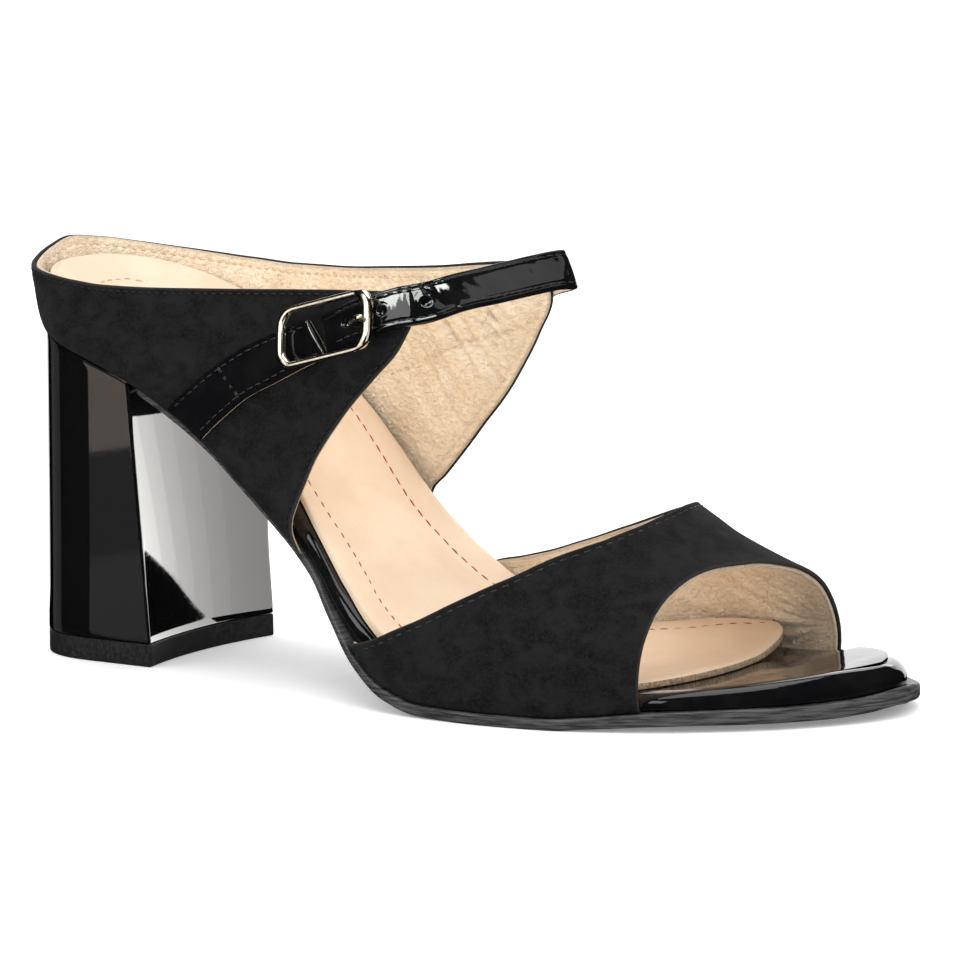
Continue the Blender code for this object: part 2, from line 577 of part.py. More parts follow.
def quarter_shape(u, v):
    """Patch between the feather line, the topline and the two front edges."""
    low_a = OUTER_FRONT[0]["a"] + (INNER_FRONT[0]["a"] - OUTER_FRONT[0]["a"]) * u
    top_a = OUTER_FRONT[-1]["a"] + (INNER_FRONT[-1]["a"] - OUTER_FRONT[-1]["a"]) * u
    top_h = topline(top_a) - feather_z(on_path(top_a)[0])
    level = v ** 0.85
    a = low_a + (top_a - low_a) * level
    h = top_h * level
    for table, weight in ((OUTER_FRONT, (1 - u) ** 6), (INNER_FRONT, u ** 6)):
        da, dh = ease_deviation(table, level)
        a = a + weight * da
        h = h + weight * dh
    return wall(a, h)


def vamp_shape(u, v):
    p = 2 * u - 1
    rear, front = vamp_rear(p), vamp_front(p)
    return vamp_surface(rear + (front - rear) * v, p)


def ribbon(centres, across, normals, width, thick, ends=None):
    """Shape function for a strap: centre line, direction across and normal by station."""
    stations = np.linspace(0, 1, len(centres))

    def shape(u, v, w):
        place = np.stack([np.interp(u, stations, centres[:, k]) for k in range(3)], -1)
        side = np.stack([np.interp(u, stations, across[:, k]) for k in range(3)], -1)
        up = np.stack([np.interp(u, stations, normals[:, k]) for k in range(3)], -1)
        return place + side * ((v - 0.5) * width)[:, None] + up * ((w - 0.5) * thick)[:, None]
    return shape


def tab_shape(u, v, w):
    """Tab between its upper and lower edges on the quarter, v running down."""
    a = curve(TAB, "u", "ta")(u) * (1 - v) + curve(TAB, "u", "ba")(u) * v
    h = curve(TAB, "u", "th")(u) * (1 - v) + curve(TAB, "u", "bh")(u) * v
    point, normal = wall_frame(a, h)
    return point + normal * (GAP + STRAP_THICK * w)[:, None]


def on_wall_ribbon(table, side, n, lift):
    """Centre line and frame of a strap lying on the quarter."""
    u = np.linspace(0, 1, n)
    s, z = curve(table, "u", "s")(u), curve(table, "u", "z")(u)
    centre, normal = wall_at(s, z, side, np.full(n, lift))
    along = np.gradient(centre, axis=0)
    along /= np.linalg.norm(along, axis=1, keepdims=True)
    across = np.cross(along, normal)
    across /= np.linalg.norm(across, axis=1, keepdims=True)
    across *= np.where(across[:, 2:3] > 0, -1, 1)
    return centre, across, normal


def smooth_line(points, n):
    """Catmull-Rom through the points, resampled evenly along its length."""
    p = np.vstack([2 * points[0] - points[1], points, 2 * points[-1] - points[-2]])
    fine = []
    for i in range(1, len(p) - 2):
        t = np.linspace(0, 1, 24, endpoint=False)[:, None]
        fine.append(0.5 * (2 * p[i] + (p[i + 1] - p[i - 1]) * t
                           + (2 * p[i - 1] - 5 * p[i] + 4 * p[i + 1] - p[i + 2]) * t ** 2
                           + (3 * p[i] - p[i - 1] - 3 * p[i + 1] + p[i + 2]) * t ** 3))
    fine = np.vstack(fine + [p[-2:-1]])
    arc = np.concatenate([[0], np.cumsum(np.linalg.norm(np.diff(fine[:, :3], axis=0), axis=1))])
    even = np.linspace(0, arc[-1], n)
    return np.stack([np.interp(even, arc, fine[:, k]) for k in range(p.shape[1])], -1)


def strap_line(n):
    """Whole instep strap: outer flap, free span, bend, inner flap down to the feather."""
    lift = GAP + STRAP_THICK / 2
    c1, w1, _ = on_wall_ribbon(STRAP_OUTER, -1, 7, lift + 0.25)
    c3, w3, _ = on_wall_ribbon(STRAP_INNER, 1, 12, lift)
    span = np.array([[r[k] for k in ("s", "m", "z", "ws", "wm", "wz")] for r in SPAN])
    line = np.vstack([np.hstack([c1, w1]), span, np.hstack([c3, w3])])
    line = smooth_line(line, n)
    centre, across = line[:, :3], line[:, 3:]
    along = np.gradient(centre, axis=0)
    along /= np.linalg.norm(along, axis=1, keepdims=True)
    across = across - along * np.sum(across * along, axis=1, keepdims=True)
    across /= np.linalg.norm(across, axis=1, keepdims=True)
    normal = np.cross(across, along)
    return centre, across, normal


def buckle_plane():
    """Centre and axes of the buckle: along the strap, across it, and off the foot."""
    s = np.array([91.2, 100.9, 110.4])
    z = np.interp(s, [96.8, 116.4], [74.2, 81.7])
    z = np.where(s < 96.8, 74.2 - (96.8 - s) * 0.46, z)
    point, _ = wall_at(s, z, -1, np.full(3, GAP + STRAP_THICK))
    along = point[2] - point[0]
    along /= np.linalg.norm(along)
    _, normal = wall_at(s[1:2], z[1:2], -1, np.zeros(1))
    across = np.cross(along, normal[0])
    across /= np.linalg.norm(across)
    across *= -1 if across[2] < 0 else 1
    off = np.cross(along, across)
    off *= -1 if off[1] > 0 else 1
    middle = point.mean(axis=0) - 0.27 * along + 0.09 * across
    turn, lean = np.cos(BUCKLE_TILT), np.sin(BUCKLE_TILT)
    return middle, along * turn + across * lean, across * turn - along * lean, off


def rounded_rectangle(length, width, radius, n_corner):
    points = []
    for cx, cy, start in ((1, 1, 0), (-1, 1, 90), (-1, -1, 180), (1, -1, 270)):
        for k in range(n_corner + 1):
            t = np.radians(start + 90 * k / n_corner)
            points.append((cx * (length / 2 - radius) + radius * np.cos(t),
                           cy * (width / 2 - radius) + radius * np.sin(t)))
    return points


# ---- assembly -----------------------------------------------------------------
clear_scene()
scene = bpy.context.scene
scene.unit_settings.system = "METRIC"
scene.unit_settings.scale_length = 1.0
home = bpy.data.collections.new("sandal")
scene.collection.children.link(home)

suede = material("black_suede", (0.012, 0.012, 0.013), 0.95)
patent = material("black_patent", (0.006, 0.006, 0.007), 0.08, coat=1.0)
leather = material("beige_leather", (0.78, 0.60, 0.42), 0.6)
resin = material("black_resin", (0.03, 0.03, 0.032), 0.5)
lacquer = material("black_lacquer", (0.006, 0.006, 0.006), 0.06, coat=1.0)
rubber = material("black_rubber", (0.02, 0.02, 0.02), 0.7)
metal = material("pale_gold", (0.86, 0.80, 0.68), 0.2, metallic=1.0)

c_levels = np.linspace(0, 1, 7)
block("outsole", sole_levels(46.0, 0, 26, 9, TOE_TIP + OUTSOLE_LIP, False), c_levels,
      np.array([0, 0.35, 1.0]), outsole_shape, resin, home)
block("midsole", sole_levels(HEEL_BACK + 3.0, 8, 30, 8, TOE_TIP - 1.2), np.linspace(0, 1, 5),
      np.array([0, 0.25, 0.75, 1.0]), midsole_shape, patent, home)
sock_u = np.concatenate([0.14 * (1 - np.cos(np.linspace(0, np.pi / 2, 8))),
                         np.linspace(0.14, 1, 27)[1:]])
block("insole", sock_u, np.linspace(0, 1, 11), np.array([0, 0.4, 1.0]), insole_shape, leather, home)
shell("quarter", 72, 9, quarter_shape, UPPER_WALL, suede, home, (70.0, 0.0, 75.0))
shell("vamp", 46, 13, vamp_shape, VAMP_WALL, suede, home, (160.0, 0.0, 12.0))

heel_u = eased(12)
block("heel", heel_u, np.linspace(0, 1, 9), np.linspace(0, 1, 5), heel_shape, lacquer, home)
block("top_piece", heel_u, np.linspace(0, 1, 9), np.array([0.0, 1.0]), top_piece_shape, rubber, home)

block("buckle_tab", np.linspace(0, 1, 16), np.array([0, 0.5, 1.0]), np.array([0.0, 1.0]),
      tab_shape, patent, home)
str_c, str_w, str_n = strap_line(60)
block("strap", np.linspace(0, 1, 60), np.array([0, 0.5, 1.0]), np.array([0.0, 1.0]),
      ribbon(str_c, str_w, str_n, STRAP_WIDTH, STRAP_THICK), patent, home)

centre, along, across, off = buckle_plane()
ride = WIRE / 2 + GAP
frame_points = [centre + along * x + across * y + off * (ride + 0.7)
                for x, y in rounded_rectangle(BUCKLE_LENGTH, BUCKLE_WIDTH, BUCKLE_CORNER, 5)]
wire("buckle_frame", np.array(frame_points), WIRE / 2, True, metal, home)
half = BUCKLE_LENGTH / 2
prong_points = [centre + along * (half + row["x"]) + across * row["c"] + off * row["h"] for row in PRONG_LINE]
wire("buckle_prong", np.array(prong_points), PRONG / 2, False, metal, home)
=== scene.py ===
import math
import bpy
import bmesh
import numpy as np
from mathutils import Matrix, Vector
from mathutils.kdtree import KDTree


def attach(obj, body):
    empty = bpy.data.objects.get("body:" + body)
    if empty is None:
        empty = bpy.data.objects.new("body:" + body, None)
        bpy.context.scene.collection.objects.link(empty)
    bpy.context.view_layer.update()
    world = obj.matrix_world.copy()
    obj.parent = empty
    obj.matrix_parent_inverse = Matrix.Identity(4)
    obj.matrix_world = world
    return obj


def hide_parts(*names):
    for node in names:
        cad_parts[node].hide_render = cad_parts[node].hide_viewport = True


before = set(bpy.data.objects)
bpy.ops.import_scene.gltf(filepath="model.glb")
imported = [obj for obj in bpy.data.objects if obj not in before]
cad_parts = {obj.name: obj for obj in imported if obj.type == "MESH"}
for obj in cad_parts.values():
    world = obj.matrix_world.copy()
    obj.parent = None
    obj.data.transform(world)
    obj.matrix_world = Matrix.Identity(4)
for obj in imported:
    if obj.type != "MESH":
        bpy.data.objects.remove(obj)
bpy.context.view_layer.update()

# Looks of the open-toe mule.  Shoe co-ordinates as in the part's source:
# s forward from the heel, m to the inner side, z up, all in millimetres.
MM = 0.001

# ---- driving dimensions (mm) -------------------------------------------------
HEEL_BACK = 8.0        # s of the feather line at the back of the heel seat
HEEL_ROUND = 32.0      # s where the rounded heel end meets the straight sides
HEEL_EXPONENT = 2.3    # roundness of the heel end
HEEL_AXIS = 0.5        # m of the heel seat's middle
TOE_TIP = 217.0        # s of the feather line's front
CENTRE_S = 110.75      # s of the middle of the bounding box
CENTRE_M = -0.60       # m of the middle of the bounding box
GAP = 0.3              # clearance between neighbouring pieces
SOLE_GAP = 0.4         # clearance between the layers of the sole
UPPER_WALL = 2.2       # suede and lining of the quarter
VAMP_WALL = 2.0        # suede and lining of the vamp
OUTSOLE = [            # thickness of the outsole, and the bevel under its waist
    dict(s=40, t=2.1, bevel=3.0), dict(s=86, t=2.1, bevel=3.4), dict(s=95, t=2.1, bevel=2.6),
    dict(s=105, t=2.1, bevel=0.9), dict(s=116, t=2.1, bevel=0.1), dict(s=125, t=2.1, bevel=0.0),
    dict(s=172, t=2.2, bevel=0.0), dict(s=182, t=2.5, bevel=0.0), dict(s=195, t=2.7, bevel=0.0),
    dict(s=210, t=2.9, bevel=0.0), dict(s=217, t=3.3, bevel=0.0),
]
OUTSOLE_LIP = 0.8      # how far the outsole stands out of the feather line
TOP_PIECE = 5.1        # rubber under the heel
STRAP_WIDTH = 9.0
STRAP_THICK = 2.0
WIRE = 1.9             # buckle wire diameter
PRONG = 1.3            # prong diameter
BUCKLE_LENGTH = 22.9   # centre line of the wire, along the strap
BUCKLE_WIDTH = 12.4    # centre line of the wire, across the strap
BUCKLE_CORNER = 3.3
BUCKLE_TILT = -0.173    # radians, turned in its own plane

# feather line: height and half outlines of the upper at the sole, by station
FEATHER = [
    dict(s=32, zf=67.4, lat=-25.3, med=26.3),
    dict(s=44, zf=62.9, lat=-25.9, med=27.0),
    dict(s=55, zf=57.3, lat=-26.0, med=26.0),
    dict(s=65, zf=50.9, lat=-26.1, med=24.9),
    dict(s=75, zf=43.0, lat=-26.4, med=23.4),
    dict(s=85, zf=35.0, lat=-26.9, med=22.6),
    dict(s=95, zf=27.2, lat=-28.6, med=22.2),
    dict(s=105, zf=19.0, lat=-33.1, med=22.7),
    dict(s=115, zf=10.4, lat=-37.4, med=24.6),
    dict(s=125, zf=5.0, lat=-40.5, med=27.6),
    dict(s=135, zf=2.8, lat=-41.8, med=31.0),
    dict(s=147, zf=2.5, lat=-41.9, med=36.0),
    dict(s=155, zf=2.5, lat=-41.1, med=38.4),
    dict(s=165, zf=2.5, lat=-39.2, med=40.2),
    dict(s=172, zf=3.0, lat=-36.6, med=40.6),
    dict(s=185, zf=4.1, lat=-29.8, med=39.3),
    dict(s=195, zf=4.4, lat=-22.4, med=36.6),
    dict(s=203, zf=4.5, lat=-14.5, med=32.8),
    dict(s=210, zf=4.7, lat=-5.0, med=27.0),
    dict(s=214.5, zf=5.4, lat=3.0, med=20.8),
    dict(s=217, zf=6.3, lat=12.0, med=12.0),
]
HEEL_SEAT = [dict(s=6, zf=76.3), dict(s=12, zf=74.0), dict(s=20, zf=71.3)]

# platform: thickness, and how far its side stands in from the feather line
PLATFORM = [
    dict(s=0, t=10.3, lat=3.0, med=3.0),
    dict(s=60, t=10.3, lat=3.0, med=3.0),
    dict(s=76, t=10.6, lat=3.0, med=3.0),
    dict(s=85, t=9.2, lat=3.0, med=3.0),
    dict(s=91, t=6.8, lat=2.9, med=2.7),
    dict(s=95, t=5.6, lat=2.6, med=2.3),
    dict(s=100, t=5.0, lat=2.1, med=2.3),
    dict(s=105, t=5.0, lat=1.8, med=2.7),
    dict(s=109, t=5.6, lat=2.1, med=3.0),
    dict(s=114, t=6.1, lat=2.8, med=3.0),
    dict(s=119, t=6.2, lat=3.0, med=3.0),
    dict(s=127, t=5.9, lat=3.0, med=3.0),
    dict(s=135, t=5.5, lat=3.0, med=3.0),
    dict(s=147, t=4.9, lat=3.0, med=3.0),
    dict(s=165, t=4.8, lat=3.0, med=3.0),
    dict(s=172, t=4.3, lat=3.0, med=3.0),
    dict(s=180.5, t=3.7, lat=3.0, med=3.0),
    dict(s=184.5, t=3.7, lat=1.5, med=3.0),
    dict(s=187.5, t=3.8, lat=1.2, med=2.2),
    dict(s=195, t=4.2, lat=1.2, med=1.2),
    dict(s=203, t=4.9, lat=1.2, med=1.2),
    dict(s=210, t=5.4, lat=1.2, med=1.2),
    dict(s=217, t=4.7, lat=1.2, med=1.2),
]
# sock: inset of its two sides, and its thickness
SOCK = [
    dict(s=0, lat=1.1, med=1.1, t=2.5),
    dict(s=50, lat=1.5, med=2.0, t=2.5),
    dict(s=66, lat=1.8, med=3.5, t=2.5),
    dict(s=76, lat=3.4, med=3.8, t=2.5),
    dict(s=88, lat=5.3, med=2.8, t=2.5),
    dict(s=97, lat=4.4, med=2.0, t=2.5),
    dict(s=106, lat=4.4, med=2.1, t=2.5),
    dict(s=114, lat=4.1, med=2.2, t=2.5),
    dict(s=125, lat=3.8, med=2.8, t=2.5),
    dict(s=142, lat=3.6, med=3.4, t=2.5),
    dict(s=168, lat=3.6, med=3.6, t=1.5),
    dict(s=217, lat=3.6, med=3.6, t=1.5),
]
# front edge of the sock, by side position c (-1 outer, +1 inner)
SOCK_FRONT = [
    dict(c=-1.0, s=175.5), dict(c=-0.9, s=178.3), dict(c=-0.8, s=180.8),
    dict(c=-0.65, s=182.5), dict(c=-0.45, s=183.4), dict(c=-0.2, s=183.6),
    dict(c=0.0, s=183.0), dict(c=0.2, s=181.9), dict(c=0.43, s=180.3),
    dict(c=0.6, s=179.2), dict(c=0.78, s=177.3), dict(c=0.9, s=175.0),
    dict(c=1.0, s=171.5),
]
# quarter wall: inward lean per height squared, and the swell over the feather
WALL = [
    dict(s=0, lean_lat=-6.0, lean_med=-6.0, swell=2.1),
    dict(s=12, lean_lat=-4.0, lean_med=-4.0, swell=2.1),
    dict(s=36, lean_lat=0.6, lean_med=0.6, swell=2.0),
    dict(s=60, lean_lat=1.6, lean_med=1.2, swell=1.4),
    dict(s=88, lean_lat=2.7, lean_med=1.6, swell=1.1),
    dict(s=112, lean_lat=3.7, lean_med=1.5, swell=1.0),
    dict(s=130, lean_lat=4.6, lean_med=1.5, swell=1.0),
]
# quarter edges by arc length a from the back centre (outer side negative)
TOPLINE = [
    dict(a=-121.4, z=84.3), dict(a=-115.2, z=84.9), dict(a=-96.7, z=84.5),
    dict(a=-73.6, z=84.1), dict(a=-58.6, z=83.9), dict(a=-46.7, z=84.1),
    dict(a=-38.9, z=84.8), dict(a=-31, z=85.9), dict(a=-23, z=87.0),
    dict(a=-15.4, z=88.3), dict(a=-7.7, z=90.4), dict(a=0, z=92.2),
    dict(a=9.1, z=91.4), dict(a=17.8, z=89.9), dict(a=25.9, z=88.5),
    dict(a=34.7, z=87.4), dict(a=45.8, z=86.5), dict(a=57.9, z=85.7),
    dict(a=71.8, z=85.7), dict(a=93.8, z=86.7), dict(a=105.8, z=87.4),
    dict(a=122.3, z=88.9), dict(a=129.9, z=89.2), dict(a=133.9, z=88.0),
]
OUTER_FRONT = [
    dict(v=0.0, a=-101.6, h=0.0), dict(v=0.02, a=-100.2, h=1.3),
    dict(v=0.045, a=-99.5, h=3.0), dict(v=0.08, a=-99.8, h=5.4),
    dict(v=0.14, a=-101.2, h=9.6), dict(v=0.24, a=-103.7, h=16.4),
    dict(v=0.34, a=-106.2, h=23.4), dict(v=0.56, a=-113.4, h=38.6),
    dict(v=0.75, a=-119.7, h=52.4), dict(v=0.88, a=-123.3, h=61.7),
    dict(v=0.95, a=-123.8, h=66.7), dict(v=1.0, a=-121.4, h=70.4),
]
INNER_FRONT = [
    dict(v=0.0, a=97.8, h=0.0), dict(v=0.08, a=99.3, h=6.4),
    dict(v=0.16, a=102.9, h=12.6), dict(v=0.38, a=113.0, h=31.3),
    dict(v=0.61, a=122.5, h=50.5), dict(v=0.80, a=129.3, h=66.0),
    dict(v=0.92, a=132.7, h=75.7), dict(v=1.0, a=130.3, h=82.0),
]
# vamp: crest of the last and fullness of the section on each side
CREST = [
    dict(s=100, zr=93.0, mr=1.0, nl=1.90, nm=2.00),
    dict(s=115, zr=82.0, mr=2.0, nl=1.85, nm=2.00),
    dict(s=135, zr=65.9, mr=4.5, nl=1.80, nm=1.96),
    dict(s=150, zr=54.3, mr=4.5, nl=1.81, nm=1.88),
    dict(s=162, zr=45.3, mr=3.7, nl=1.81, nm=1.80),
    dict(s=172, zr=38.6, mr=3.6, nl=1.95, nm=1.79),
    dict(s=179, zr=34.4, mr=3.4, nl=2.30, nm=1.94),
    dict(s=185, zr=31.5, mr=3.6, nl=2.70, nm=2.05),
    dict(s=191, zr=29.2, mr=4.2, nl=2.80, nm=2.07),
]
VAMP_REAR = [
    dict(p=-1.0, s=111.8), dict(p=-0.916, s=120.7), dict(p=-0.85, s=128.0),
    dict(p=-0.769, s=137.6), dict(p=-0.69, s=145.8), dict(p=-0.608, s=152.6),
    dict(p=-0.515, s=158.0), dict(p=-0.43, s=162.3), dict(p=-0.35, s=165.5),
    dict(p=-0.2, s=168.7), dict(p=-0.085, s=169.3), dict(p=0.0, s=168.9),
    dict(p=0.1, s=167.9), dict(p=0.25, s=164.6), dict(p=0.4, s=158.6),
    dict(p=0.515, s=151.7), dict(p=0.645, s=141.3), dict(p=0.733, s=131.9),
    dict(p=0.814, s=122.4), dict(p=0.949, s=107.4), dict(p=1.0, s=103.5),
]
VAMP_FRONT = [
    dict(p=-1.0, s=182.2), dict(p=-0.8, s=182.1), dict(p=-0.6, s=182.4),
    dict(p=-0.38, s=183.6), dict(p=-0.164, s=185.1), dict(p=0.0, s=187.0),
    dict(p=0.2, s=189.0), dict(p=0.4, s=188.9), dict(p=0.62, s=187.6),
    dict(p=0.8, s=186.6), dict(p=1.0, s=185.3),
]
# heel block: outline at the top (under the seat) and at the top-piece
HEEL = [
    dict(w=0.0, back=6.2, front_lat=47.9, front_med=42.9, lat=-24.3, med=25.0, hollow=2.9),
    dict(w=0.35, back=6.8, front_lat=46.5, front_med=42.3, lat=-24.5, med=24.5, hollow=2.7),
    dict(w=1.0, back=8.2, front_lat=43.8, front_med=42.6, lat=-25.1, med=25.6, hollow=2.6),
]
# strap and tab on the quarter, as seen from the side
TAB = [
    dict(u=0.0, ta=-65.8, th=2.4, ba=-75.3, bh=2.7),
    dict(u=0.2, ta=-72.8, th=12.1, ba=-82.0, bh=13.2),
    dict(u=0.45, ta=-80.9, th=24.0, ba=-87.7, bh=21.9),
    dict(u=0.7, ta=-88.1, th=33.8, ba=-95.1, bh=31.4),
    dict(u=1.0, ta=-100.6, th=48.7, ba=-106.7, bh=46.2),
]
STRAP_OUTER = [dict(u=0.0, s=98.9, z=74.9), dict(u=0.5, s=107.8, z=78.55), dict(u=1.0, s=116.6, z=81.12)]
SPAN = [
    dict(s=119.2, m=-22.3, z=82.12, ws=0.38, wm=-0.24, wz=-0.89),
    dict(s=120.9, m=-20.3, z=82.50, ws=0.47, wm=-0.12, wz=-0.87),
    dict(s=121.6, m=-17.7, z=82.90, ws=0.58, wm=-0.02, wz=-0.81),
    dict(s=121.8, m=-14.6, z=83.30, ws=0.65, wm=0.03, wz=-0.76),
    dict(s=122.0, m=-11.0, z=83.80, ws=0.66, wm=0.00, wz=-0.75),
    dict(s=122.8, m=-6.0, z=84.4, ws=0.53, wm=-0.39, wz=-0.75),
    dict(s=123.9, m=-1.0, z=84.9, ws=0.51, wm=-0.36, wz=-0.78),
    dict(s=125.0, m=4.0, z=85.5, ws=0.50, wm=-0.34, wz=-0.80),
    dict(s=126.1, m=9.0, z=86.1, ws=0.49, wm=-0.32, wz=-0.81),
    dict(s=127.0, m=13.5, z=86.6, ws=0.48, wm=-0.30, wz=-0.82),
    dict(s=128.1, m=17.0, z=87.0, ws=0.46, wm=-0.24, wz=-0.86),
    dict(s=128.8, m=19.2, z=87.1, ws=0.43, wm=-0.14, wz=-0.89),
    dict(s=128.8, m=21.0, z=87.0, ws=0.39, wm=0.02, wz=-0.92),
    dict(s=127.8, m=22.2, z=86.7, ws=0.35, wm=0.12, wz=-0.93),
]
# prong, from its tip to the bar: x from the bar, c across the strap, h off it
PRONG_LINE = [
    dict(x=-5.0, c=0.40, h=1.10), dict(x=-4.0, c=0.27, h=1.35), dict(x=-2.8, c=0.10, h=2.05),
    dict(x=-1.6, c=-0.05, h=3.20), dict(x=-0.5, c=-0.20, h=3.80), dict(x=0.7, c=-0.30, h=3.80),
]
STRAP_INNER = [dict(u=0.0, s=124.6, z=85.2), dict(u=0.5, s=97.0, z=69.6), dict(u=1.0, s=64.5, z=54.4)]


# ---- shoe geometry ------------------------------------------------------------
def curve(table, x_column, y_column):
    """Monotone cubic through two columns of a table."""
    x = np.array([row[x_column] for row in table], float)
    y = np.array([row[y_column] for row in table], float)
    h = np.diff(x)
    d = np.diff(y) / h
    k = np.zeros_like(x)
    k[0], k[-1] = d[0], d[-1]
    for i in range(1, len(x) - 1):
        if d[i - 1] * d[i] > 0:
            w1, w2 = 2 * h[i] + h[i - 1], h[i] + 2 * h[i - 1]
            k[i] = (w1 + w2) / (w1 / d[i - 1] + w2 / d[i])

    def value(q):
        q = np.asarray(q, float)
        i = np.clip(np.searchsorted(x, q) - 1, 0, len(h) - 1)
        t = np.clip((q - x[i]) / h[i], 0, 1)
        return ((1 + 2 * t) * (1 - t) ** 2 * y[i] + t * (1 - t) ** 2 * h[i] * k[i]
                + t * t * (3 - 2 * t) * y[i + 1] + t * t * (t - 1) * h[i] * k[i + 1])
    return value


feather_z = curve([dict(s=r["s"], zf=r["zf"]) for r in HEEL_SEAT]
                  + [dict(s=r["s"], zf=r["zf"]) for r in FEATHER], "s", "zf")
side_lat = curve(FEATHER, "s", "lat")
side_med = curve(FEATHER, "s", "med")
platform_t = curve(PLATFORM, "s", "t")
platform_lat = curve(PLATFORM, "s", "lat")
platform_med = curve(PLATFORM, "s", "med")
outsole_t = curve(OUTSOLE, "s", "t")
outsole_bevel = curve(OUTSOLE, "s", "bevel")
sock_lat = curve(SOCK, "s", "lat")
sock_med = curve(SOCK, "s", "med")
sock_t = curve(SOCK, "s", "t")
sock_front = curve(SOCK_FRONT, "c", "s")
lean_lat = curve(WALL, "s", "lean_lat")
lean_med = curve(WALL, "s", "lean_med")
swell = curve(WALL, "s", "swell")
topline = curve(TOPLINE, "a", "z")
crest_z = curve(CREST, "s", "zr")
crest_m = curve(CREST, "s", "mr")
full_lat = curve(CREST, "s", "nl")
full_med = curve(CREST, "s", "nm")
vamp_rear = curve(VAMP_REAR, "p", "s")
vamp_front = curve(VAMP_FRONT, "p", "s")


def outline(s, inset=0.0, side=-1):
    """m of the feather line at s, moved in by inset, rounded at the heel."""
    s = np.asarray(s, float)
    full = side_lat if side < 0 else side_med
    back = HEEL_BACK + inset
    edge = full(np.maximum(s, HEEL_ROUND)) - side * inset
    t = np.clip((HEEL_ROUND - s) / (HEEL_ROUND - back), 0, 1)
    return np.where(s < HEEL_ROUND,
                    HEEL_AXIS + (edge - HEEL_AXIS) * (1 - t ** HEEL_EXPONENT) ** (1 / HEEL_EXPONENT),
                    edge)


def feather_path():
    """Plan of the feather line from the outer waist round the heel to the inner waist."""
    q = np.linspace(0, np.pi / 2, 160)
    s_round = HEEL_ROUND - (HEEL_ROUND - HEEL_BACK) * np.cos(q) ** (2 / HEEL_EXPONENT)
    m_round = np.sin(q) ** (2 / HEEL_EXPONENT)
    s_side = np.linspace(HEEL_ROUND, 150, 400)[1:]
    halves = []
    for full in (side_lat, side_med):
        m_heel = HEEL_AXIS + (full(HEEL_ROUND) - HEEL_AXIS) * m_round
        halves.append(np.vstack([np.stack([s_round, m_heel], -1),
                                 np.stack([s_side, full(s_side)], -1)]))
    path = np.vstack([halves[0][::-1], halves[1][1:]])
    arc = np.concatenate([[0], np.cumsum(np.hypot(*np.diff(path, axis=0).T))])
    return path, arc - arc[len(halves[0]) - 1]


PATH, ARC = feather_path()


def on_path(a, step=2.5):
    """Point of the feather line at arc length a, and its outward normal in plan."""
    s = np.interp(a, ARC, PATH[:, 0])
    m = np.interp(a, ARC, PATH[:, 1])
    ds = np.interp(a + step, ARC, PATH[:, 0]) - np.interp(a - step, ARC, PATH[:, 0])
    dm = np.interp(a + step, ARC, PATH[:, 1]) - np.interp(a - step, ARC, PATH[:, 1])
    length = np.hypot(ds, dm)
    return s, m, -dm / length, ds / length


def wall(a, h):
    """Outer surface of the quarter at arc length a and height h over the feather line."""
    s, m, ns, nm = on_path(a)
    lean = np.where(a < 0, lean_lat(s), lean_med(s))
    out = swell(s) * (1 - np.exp(-np.maximum(h, 0) / 4.0)) - lean * h * h / 1000.0
    return np.stack([s + ns * out, m + nm * out, feather_z(s) + h], -1)


def wall_frame(a, h):
    """Point and outward unit normal of the quarter's outer surface."""
    da = wall(a + 0.5, h) - wall(a - 0.5, h)
    dh = wall(a, h + 0.5) - wall(a, h - 0.5)
    n = np.cross(da, dh)
    n /= np.linalg.norm(n, axis=-1, keepdims=True)
    return wall(a, h), n * np.sign(n[..., 1:2] * np.sign(np.asarray(a))[..., None])


def wall_at(s, z, side, lift):
    """Point over the quarter whose side view is (s, z), lifted along the normal."""
    s, z = np.asarray(s, float), np.asarray(z, float)
    a = np.interp(s, PATH[ARC * side > 0][:, 0][::side], (ARC[ARC * side > 0])[::side])
    for _ in range(12):
        h = z - feather_z(on_path(a)[0])
        point, normal = wall_frame(a, h)
        a = a + side * (s - point[..., 0])
    return point + normal * np.asarray(lift)[..., None], normal


def vamp_surface(s, p):
    """Outer surface of the vamp: p is -1 at the outer feather, 0 on the crest, +1 inside."""
    angle = np.abs(p) * np.pi / 2
    n = np.where(p < 0, full_lat(s), full_med(s))
    edge = np.where(p < 0, side_lat(s), side_med(s))
    across = np.sin(angle) ** (2 / n)
    h = np.maximum(np.cos(angle), 0) ** (2 / n) * (crest_z(s) - feather_z(s))
    bulge = 1.5 * (1 - np.exp(-h / 4.0)) * np.exp(-h / 18.0)
    m = crest_m(s) + (edge - crest_m(s)) * across + np.sign(p) * bulge * across
    return np.stack([s + 0 * m, m, feather_z(s) + h], -1)


def to_scene(points):
    points = np.asarray(points, float)
    return np.stack([points[..., 1] - CENTRE_M, CENTRE_S - points[..., 0], points[..., 2]], -1) * MM


# ---- pieces -------------------------------------------------------------------
def sole_levels(start, n_heel, n_mid, n_toe, end=TOE_TIP, round_back=True):
    """Levels along a sole: crowded at a rounded heel and at the toe tip."""
    toe_from = end - 22.0
    parts = []
    if round_back:
        parts.append(start + (HEEL_ROUND - start) * (1 - np.cos(np.linspace(0, np.pi / 2, n_heel))))
        parts.append(np.linspace(HEEL_ROUND, toe_from, n_mid)[1:])
    else:
        parts.append(np.linspace(start, toe_from, n_mid))
    parts.append(toe_from + 22.0 * np.sin(np.linspace(0, np.pi / 2, n_toe))[1:])
    s = np.concatenate(parts)
    return (s - start) / (end - start)


def heel_breast(c):
    """s of the heel block's front at the seat, by side position."""
    top = HEEL[-1]
    return (top["front_lat"] + (top["front_med"] - top["front_lat"]) * (c + 1) / 2
            - top["hollow"] * (1 - c * c))


